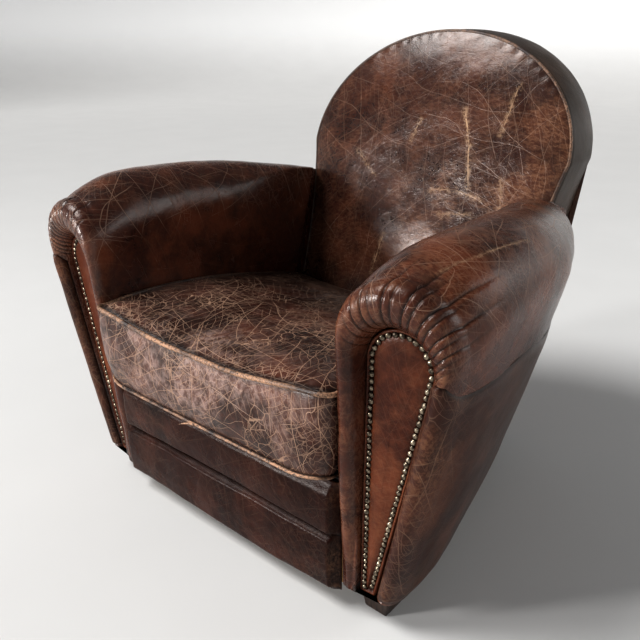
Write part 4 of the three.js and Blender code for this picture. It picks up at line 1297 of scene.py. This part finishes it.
def cushion_form():
    """The cover's plain form in the seat's frame, the part and level of each row, the seams."""
    low_plan, high_plan = cushion_column_grid()
    rows, tags = [], []

    def add(plan, z, tag):
        rows.append(np.stack([plan[:, 0], plan[:, 1], z], axis=1))
        tags.append(tag)

    def shrunk(plan, scale):
        return CUSHION_MIDDLE + (plan - CUSHION_MIDDLE) * scale

    # Underside, flat where it lies on the deck.
    for scale in (0.02, 0.2, 0.45, 0.7, 0.85, 0.93, 0.97):
        rise = 0.006 * smooth(scale, 0.7, 1.0)
        add(shrunk(low_plan, scale), np.full(len(low_plan), 0.0298) + rise, ("under", scale))
    low_z = SEAM_LOW + 0.006 * smooth(np.abs(low_plan[:, 0]), 0.20, 0.26) * (low_plan[:, 1] < 0.05)
    add(low_plan, low_z, ("seam", 1.0))
    # Boxing between the seams, swelling outwards.
    high_rise = seam_rise(high_plan[:, 0], high_plan[:, 1])
    high_z = SEAM_HIGH + high_rise
    facing_front = smooth(-(low_plan[:, 1] + high_plan[:, 1]) / 2, -0.02, 0.04)
    for level in np.concatenate([[0.025, 0.06], np.linspace(0.1, 0.9, 26), [0.94, 0.975]]):
        plan = lerp(low_plan, high_plan, level)
        away = plan - CUSHION_MIDDLE
        away = away / np.linalg.norm(away, axis=1, keepdims=True)
        puff = math.sin(math.pi * level) ** 0.7
        swell = puff * (0.004 + 0.009 * facing_front)
        flat_side = np.abs(plan[:, 0]) > CUSHION_HALF - 0.004
        swell = np.where(flat_side & (facing_front < 0.5), 0.001 * puff, swell)
        add(plan + away * swell[:, None], lerp(low_z, high_z, level), ("box", level))
    add(high_plan, high_z, ("seam", 1.0))
    # The top: rolled over behind the seam, crowned, with a hollow where people sit.
    for scale in np.concatenate([[0.993, 0.983, 0.968], np.linspace(0.945, 0.05, 62), [0.02]]):
        plan = shrunk(high_plan, scale)
        roll = 0.013 * (1 - math.exp((scale - 1) / 0.045))
        crown = 0.005 * (1 - scale ** 2)
        hollow = -0.012 * bump(plan[:, 0], 0.02, 0.15) * bump(plan[:, 1], 0.27, 0.13)
        add(plan, SEAM_HIGH + roll + crown + hollow + high_rise * scale ** 3, ("top", scale))
    part = np.array([tag[0] for tag in tags])[:, None]
    level = np.array([tag[1] for tag in tags])[:, None]
    return np.stack(rows), part, level, ((low_plan, low_z), (high_plan, high_z))


def cushion(material, foam):
    """The loose cushion: a worn cover blown up over its foam. Gives the lines of its seams."""
    local, part, level, seams = cushion_form()
    boxing, top, sewn = part == "box", part == "top", part == "seam"
    grid = seat_place(local)
    normal = outward_normals(grid)
    faces = capped_faces(*grid.shape[:2])
    wrinkle = fbm(grid, 16.0, 2, 51) * 0.0026 + fbm(grid, 46.0, 2, 52) * 0.0010
    # Creases that hang down from the upper seam over the front.
    x, y = grid[..., 0], local[..., 1]
    drag = np.sin(x * 210 + 5 * np.sin(x * 37) + 14 * level) * bump(level, 0.93, 0.16)
    calm = np.where(boxing, np.sin(math.pi * level) ** 0.5, 0)
    calm = np.where(top, smooth(1 - level, 0.0, 0.03), calm)
    # Air pressure fills the cover between its seams, which stay where they are sewn.
    held = np.broadcast_to(sewn | (part == "under"), x.shape).ravel()
    puffed = blown_up(grid.reshape(-1, 3), faces, held, 3.0, 20, 0.022).reshape(grid.shape) * 0.42
    grid = grid + puffed * (calm * np.where(boxing & (y > 0), 0.1, 1.0))[..., None]
    height = wrinkle * calm + boxing * 0.0006 * drag * calm
    grid = grid + normal * height[..., None]
    front = smooth(-y, -0.03, 0.03)
    worn_middle = (1 - 0.70 * smooth(x, 0.08, 0.24)) * (1 - 0.45 * smooth(-x, 0.08, 0.22))
    worn_front = 0.90 * front * worn_middle * (0.45 + 0.55 * smooth(level, 0.0, 0.3))
    worn_edge = 0.9 * bump(y, CUSHION_FRONT + 0.015, 0.035) * bump(x, -0.02, 0.12)
    wear = np.where(top, 0.18 + worn_edge, np.where(boxing, 0.22 + worn_front, 0.3))
    crack = np.where(top, 1.25, np.where(boxing, 0.9, 0.3))
    # Grime and painted shade beside the seams and on them; on the top, a dark spot and darker
    # towards the rear.
    beside_seam = np.maximum(1 - smooth(level, 0.0, 0.06), smooth(level, 0.925, 0.98))
    seam_grime_and_shade = np.where(top, 1 - smooth(1 - level, 0.010, 0.034), np.where(boxing, beside_seam, sewn))
    spot_and_darker_rear = 0.45 * bump(x, 0.08, 0.07) * bump(y, 0.30, 0.06) + 0.70 * smooth(y, 0.10, 0.34)
    # Painted grey sheen on the top.
    add_piece("seat_cushion_leather", grid, faces, material, "worn_leather", "cushion_cover",
              fill=0.75, wear=wear, crack=crack, fold=np.clip(seam_grime_and_shade * 0.85 + top * spot_and_darker_rear, 0, 1),
              tone=np.where(top, 0.12, 0.0))
    core = lerp(grid, seat_place(np.array([*CUSHION_MIDDLE, 0.110])), 0.035)
    add_piece("seat_cushion_foam", core, faces, foam, "foam", "cushion_foam", fill=0.9)
    return seams


def cushion_piping(name, seam, node, material, seed, radius, torn=False):
    """Piping along a seam of the cushion. On the lower one a strip is torn off and hangs."""
    plan, z = seam
    away = plan - CUSHION_MIDDLE
    away /= np.linalg.norm(away, axis=1, keepdims=True)
    line = plan + away * 0.0042
    route = resample(seat_place(np.stack([line[:, 0], line[:, 1], z], axis=1)), 0.004, closed=True)
    thick = radius + 0.0004 * fbm(route, 60.0, 2, seed)
    sides, guide = 12, (0, 0.14, 1)
    points, faces = tube(route, thick, sides, closed=True, guide=guide)
    wear = np.repeat(0.35 + 0.75 * smooth(-route[:, 1], 0.30, 0.40), sides)
    if torn:
        ahead = route[route[:, 1] < -0.36]
        ahead = ahead[np.argsort(ahead[:, 0])]
        share = np.linspace(0, 1, 18)
        x = lerp(-0.006, -0.038, share)
        y = np.interp(x, ahead[:, 0], ahead[:, 1]) - 0.0015 - 0.0080 * share ** 1.4
        z = np.interp(x, ahead[:, 0], ahead[:, 2]) - 0.0075 * share ** 2
        thin = 0.0019 * (1 - share) ** 0.6 + 0.0004
        more, more_faces = tube(np.stack([x, y, z], axis=1), thin, sides, guide=guide)
        faces = faces + [[i + len(points) for i in face] for face in more_faces]
        points = np.concatenate([points, more])
        wear = np.concatenate([wear, np.full(len(more), 1.3)])
    add_piece(name, points, faces, material, "piping", node, wear=wear)


# ---- Front rail, feet and underside ------------------------------------------------------
def rail_band(name, low, high, seed, material, node, lip):
    """A leather band across the front rail, turned in at its edges, slack and dented."""
    columns, rows = 150, 40
    u = np.linspace(-1, 1, columns)[None, :]
    v = np.linspace(0, 1, rows)[:, None]
    x = SEAT_HALF * np.sign(u) * np.abs(u) ** 0.97 + 0 * v
    sag = 0.0035 * np.sin(u * 3.1 + seed) if lip else 0.0020 * np.sin(u * 2.3 + seed)
    z = lerp(low, high, v) + sag * (1 - v)
    end = smooth((1 - np.abs(u)) / 0.055)
    top = smooth((1 - v) / (0.10 if lip else 0.25))
    foot = smooth(v / 0.10)
    y = RAIL_FRONT + 0.017 - 0.017 * end * lerp(0.35, 1, top) * lerp(0.45, 1, foot)
    y = y - 0.003 * np.sin(math.pi * v) * end
    grid = np.stack([x, y, z], axis=-1)
    dents = fbm(grid, 12.0, 2, seed) * 0.0022 + fbm(grid, 42.0, 2, seed + 1) * 0.0006
    grid[..., 1] += dents * end * foot * top
    points, faces = two_sided(grid, np.stack([x, 0 * x + RAIL_FRONT + 0.0178, z], axis=-1))
    # Grime and painted shade at the join between the two bands.
    seam = smooth((v - 0.95) / 0.05) if lip else 1 - smooth(v / 0.06)
    add_piece(name, points, faces, material, "leather", node, fill=0.9,
              wear=0.06 + 1.1 * bump(np.abs(u), 0.975, 0.02), crack=0.22, fold=0.8 * seam, tone=0)


def foot(name, material):
    """A tapered block foot with softened, chipped edges."""
    low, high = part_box(name)
    middle_x, middle_y = (low[0] + high[0]) / 2, (low[1] + high[1]) / 2 - CHAIR_Y
    top_half = (high[0] - low[0]) / 2
    bottom_half = top_half * 30 / 37
    levels = np.concatenate([[0, 0.03, 0.07], np.linspace(0.15, 0.9, 12), [0.95, 0.985, 1.0]])
    corner, steps = 0.0035, 12
    rows = []
    for level in levels:
        reach = lerp(bottom_half, top_half, level) - corner
        radius = corner - 0.0018 * (1 - smooth(min(level, 1 - level) / 0.06))
        height = low[2] + level * (high[2] - low[2])
        ring = []
        for quarter, (across, along) in enumerate(((1, 1), (-1, 1), (-1, -1), (1, -1))):
            for step in range(steps + 1):
                turn = (quarter + step / steps) * math.pi / 2
                ring.append([middle_x + reach * across + radius * math.cos(turn),
                             middle_y + reach * along + radius * math.sin(turn), height])
        rows.append(ring)
    grid = np.array(rows)
    grid[1:-1, :, :2] += fbm(grid[1:-1], 60.0, 2, low[0] * 9)[..., None] * 0.0004
    add_piece(f"{name}_block", grid, capped_faces(*grid.shape[:2]), material, "dark_wood", name)


def dust_cover(material):
    """Black cloth stretched below the seat, sagging a little between its tacks."""
    half = np.array([[0.272, -0.345], [0.232, -0.060], [0.188, 0.110], [0.188, 0.184]])
    y = np.linspace(half[0, 1], half[-1, 1], 60)
    width = np.interp(y, half[:, 1], half[:, 0])
    u = np.linspace(-1, 1, 60)
    sag = 0.004 * np.outer(np.sin(math.pi * (y - y[0]) / (y[-1] - y[0])), 1 - u ** 2)
    x = width[:, None] * u
    grid = np.stack([x, y[:, None] + 0 * x, 0.0472 - sag], axis=-1)
    points, faces = two_sided(grid, grid + np.array([0, 0, 0.0004]))
    piece = add_piece("dust_cover_cloth", points, faces, material, "black_cloth", "dust_cover")


# ---- Build -------------------------------------------------------------------------------
for side, seed, key in ((1, 1.0, "right_arm"), (-1, 2.0, "left_arm")):
    bare_arm = arm_skin(side, seed, key)
    facing_panel(side, "facing")
    nail_row(side, "brass", int(10 * seed))
    outside_panel(side, seed + 4, "panel", bare_arm)
inside_back("back")
back_piping("piping")
back_band("band")
outside_back("outside_back")
low_seam, high_seam = cushion("cushion", "foam")
cushion_piping("cushion_piping_lower", low_seam, "cushion_welt_lower", "piping",
               61, 0.0024, torn=True)
cushion_piping("cushion_piping_upper", high_seam, "cushion_welt_upper", "piping",
               62, 0.0039)
rail_band("rail_band_upper_leather", RAIL_SEAM + 0.0003, RAIL_TOP, 71, "rail",
          "front_rail_upper_band", False)
rail_band("rail_band_lower_leather", RAIL_HEM, RAIL_SEAM, 73, "rail",
          "front_rail_lower_band", True)
for corner in ("right_front", "left_front", "right_rear", "left_rear"):
    foot(f"{corner}_foot", "dark_wood")
dust_cover("black")

FINISHES = {
    "beech": ["front_rail", "rear_rail", "back_top_rail", "back_lower_rail"]
    + [f"{s}_{n}" for s in ("right", "left")
       for n in ("side_rail", "arm_top_rail", "arm_front_board", "back_post")],
    "steel": [f"seat_spring_{i}" for i in (1, 2, 3, 4)],
    "hessian": ["spring_hessian"],
    "black": ["seat_deck"],
    "webbing": [f"back_strap_{n}" for n in ("lower", "middle", "upper")],
    "brass": ["cushion_zip"],
}
for key, names in FINISHES.items():
    for name in names:
        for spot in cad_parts[name].material_slots:
            spot.material = MATERIALS[key]


# ---- Floor, light and camera -------------------------------------------------------------
STUDIO_SIDES = 120


def studio_surface(name, profile):
    """A round white surface, drawn as rings that each have a radius and a height.

    Its upper part glows a little, so that no horizon shows.
    """
    net = Net(name)
    speck = net.noise(net.place, 3.0, 3.0)
    height = net.vector("DOT_PRODUCT", net.place, (0, 0, 1))
    glow = net.times(net.ramp(height, 0.0, 1.2), net.ramp(height, 3.6, 4.6, 1.0, 0.0))
    colour = net.mix(speck, rgb(216, 215, 213), rgb(222, 221, 219))
    net.feed(net.shader.inputs["Emission Color"], net.mix(glow, rgb(0, 0, 0), rgb(248, 248, 248)))
    net.finished(colour, 0.85, Emission_Strength=0.38)
    angles = np.arange(STUDIO_SIDES) * 2 * math.pi / STUDIO_SIDES
    rings = [np.stack([radius * np.cos(angles), radius * np.sin(angles), 0 * angles + high], axis=1)
             for radius, high in profile]
    mesh = bpy.data.meshes.new(name)
    faces = grid_faces(len(rings), STUDIO_SIDES, wrap=True)
    if profile[0][0] < 0.1:
        faces.append(list(range(STUDIO_SIDES)))
    mesh.from_pydata(np.concatenate(rings).tolist(), [], faces)
    mesh.polygons.foreach_set("use_smooth", [True] * len(mesh.polygons))
    mesh.materials.append(net.material)
    add_to_scene(name, mesh)


def soft_light(name, place, target, size, power, colour=(1, 1, 1)):
    """A lit rectangle that faces its target."""
    data = bpy.data.lights.new(name, "AREA")
    data.shape = "RECTANGLE"
    data.size, data.size_y = size
    data.energy = power
    data.color = colour
    lamp = add_to_scene(name, data)
    lamp.location = place
    aim = Vector(target) - Vector(place)
    lamp.rotation_euler = aim.to_track_quat("-Z", "Y").to_euler()


def studio():
    """A weak surround, a wide sun, two window-sized lights and the view's settings."""
    world = bpy.data.worlds.new("studio")
    world.use_nodes = True
    surround = world.node_tree.nodes["Background"]
    surround.inputs["Color"].default_value = (0.92, 0.94, 1.0, 1)
    surround.inputs["Strength"].default_value = 0.115
    bpy.context.scene.world = world
    view = bpy.context.scene.view_settings
    view.view_transform = "Standard"
    view.gamma = 0.86
    view.exposure = 0.18
    sky = bpy.data.lights.new("high_window", "SUN")
    sky.energy = 2.45
    sky.angle = math.radians(24)
    lamp = add_to_scene("high_window", sky)
    lamp.rotation_euler = Vector((0.55, 0.45, -1.0)).to_track_quat("-Z", "Y").to_euler()
    soft_light("left_window", (-2.0, -3.4, 1.15), (0.05, 0.1, 0.5), (0.45, 0.62), 104)
    soft_light("right_window", (2.3, 1.7, 1.8), (0.3, 0, 0.5), (1.2, 1.2), 14, (0.95, 0.98, 1.0))


def camera():
    """The camera that was fitted to the photo's outlines."""
    yaw, pitch, roll = math.radians(40.71), math.radians(22.23), math.radians(0.53)
    forward = Vector((-math.sin(yaw) * math.cos(pitch), math.cos(yaw) * math.cos(pitch),
                      -math.sin(pitch)))
    right = Vector((math.cos(yaw), math.sin(yaw), 0))
    down = forward.cross(right)
    turned_right = right * math.cos(roll) + down * math.sin(roll)
    turned_down = down * math.cos(roll) - right * math.sin(roll)
    data = bpy.data.cameras.new("camera")
    data.lens = 38.89
    data.sensor_width = 36.0
    data.clip_start = 0.05
    view = add_to_scene("camera", data)
    place = Vector((0.804, -1.042 + CHAIR_Y, 0.845))
    axes = (turned_right, -turned_down, -forward)
    turn = Matrix([[axis[row] for axis in axes] for row in range(3)])
    view.matrix_world = Matrix.Translation(place) @ turn.to_4x4()
    bpy.context.scene.camera = view


studio_surface("pale_floor", [(0.05, 0.0), (2.0, 0.0), (9.0, 0.0)])
sweep = [(9.0 + 5.0 * math.sin(turn), 4.0 * (1 - math.cos(turn)))
         for turn in np.linspace(0, math.pi / 2, 25)]
studio_surface("white_sweep", sweep + [(14.0, 5.5), (14.0, 7.0)])
studio()
camera()
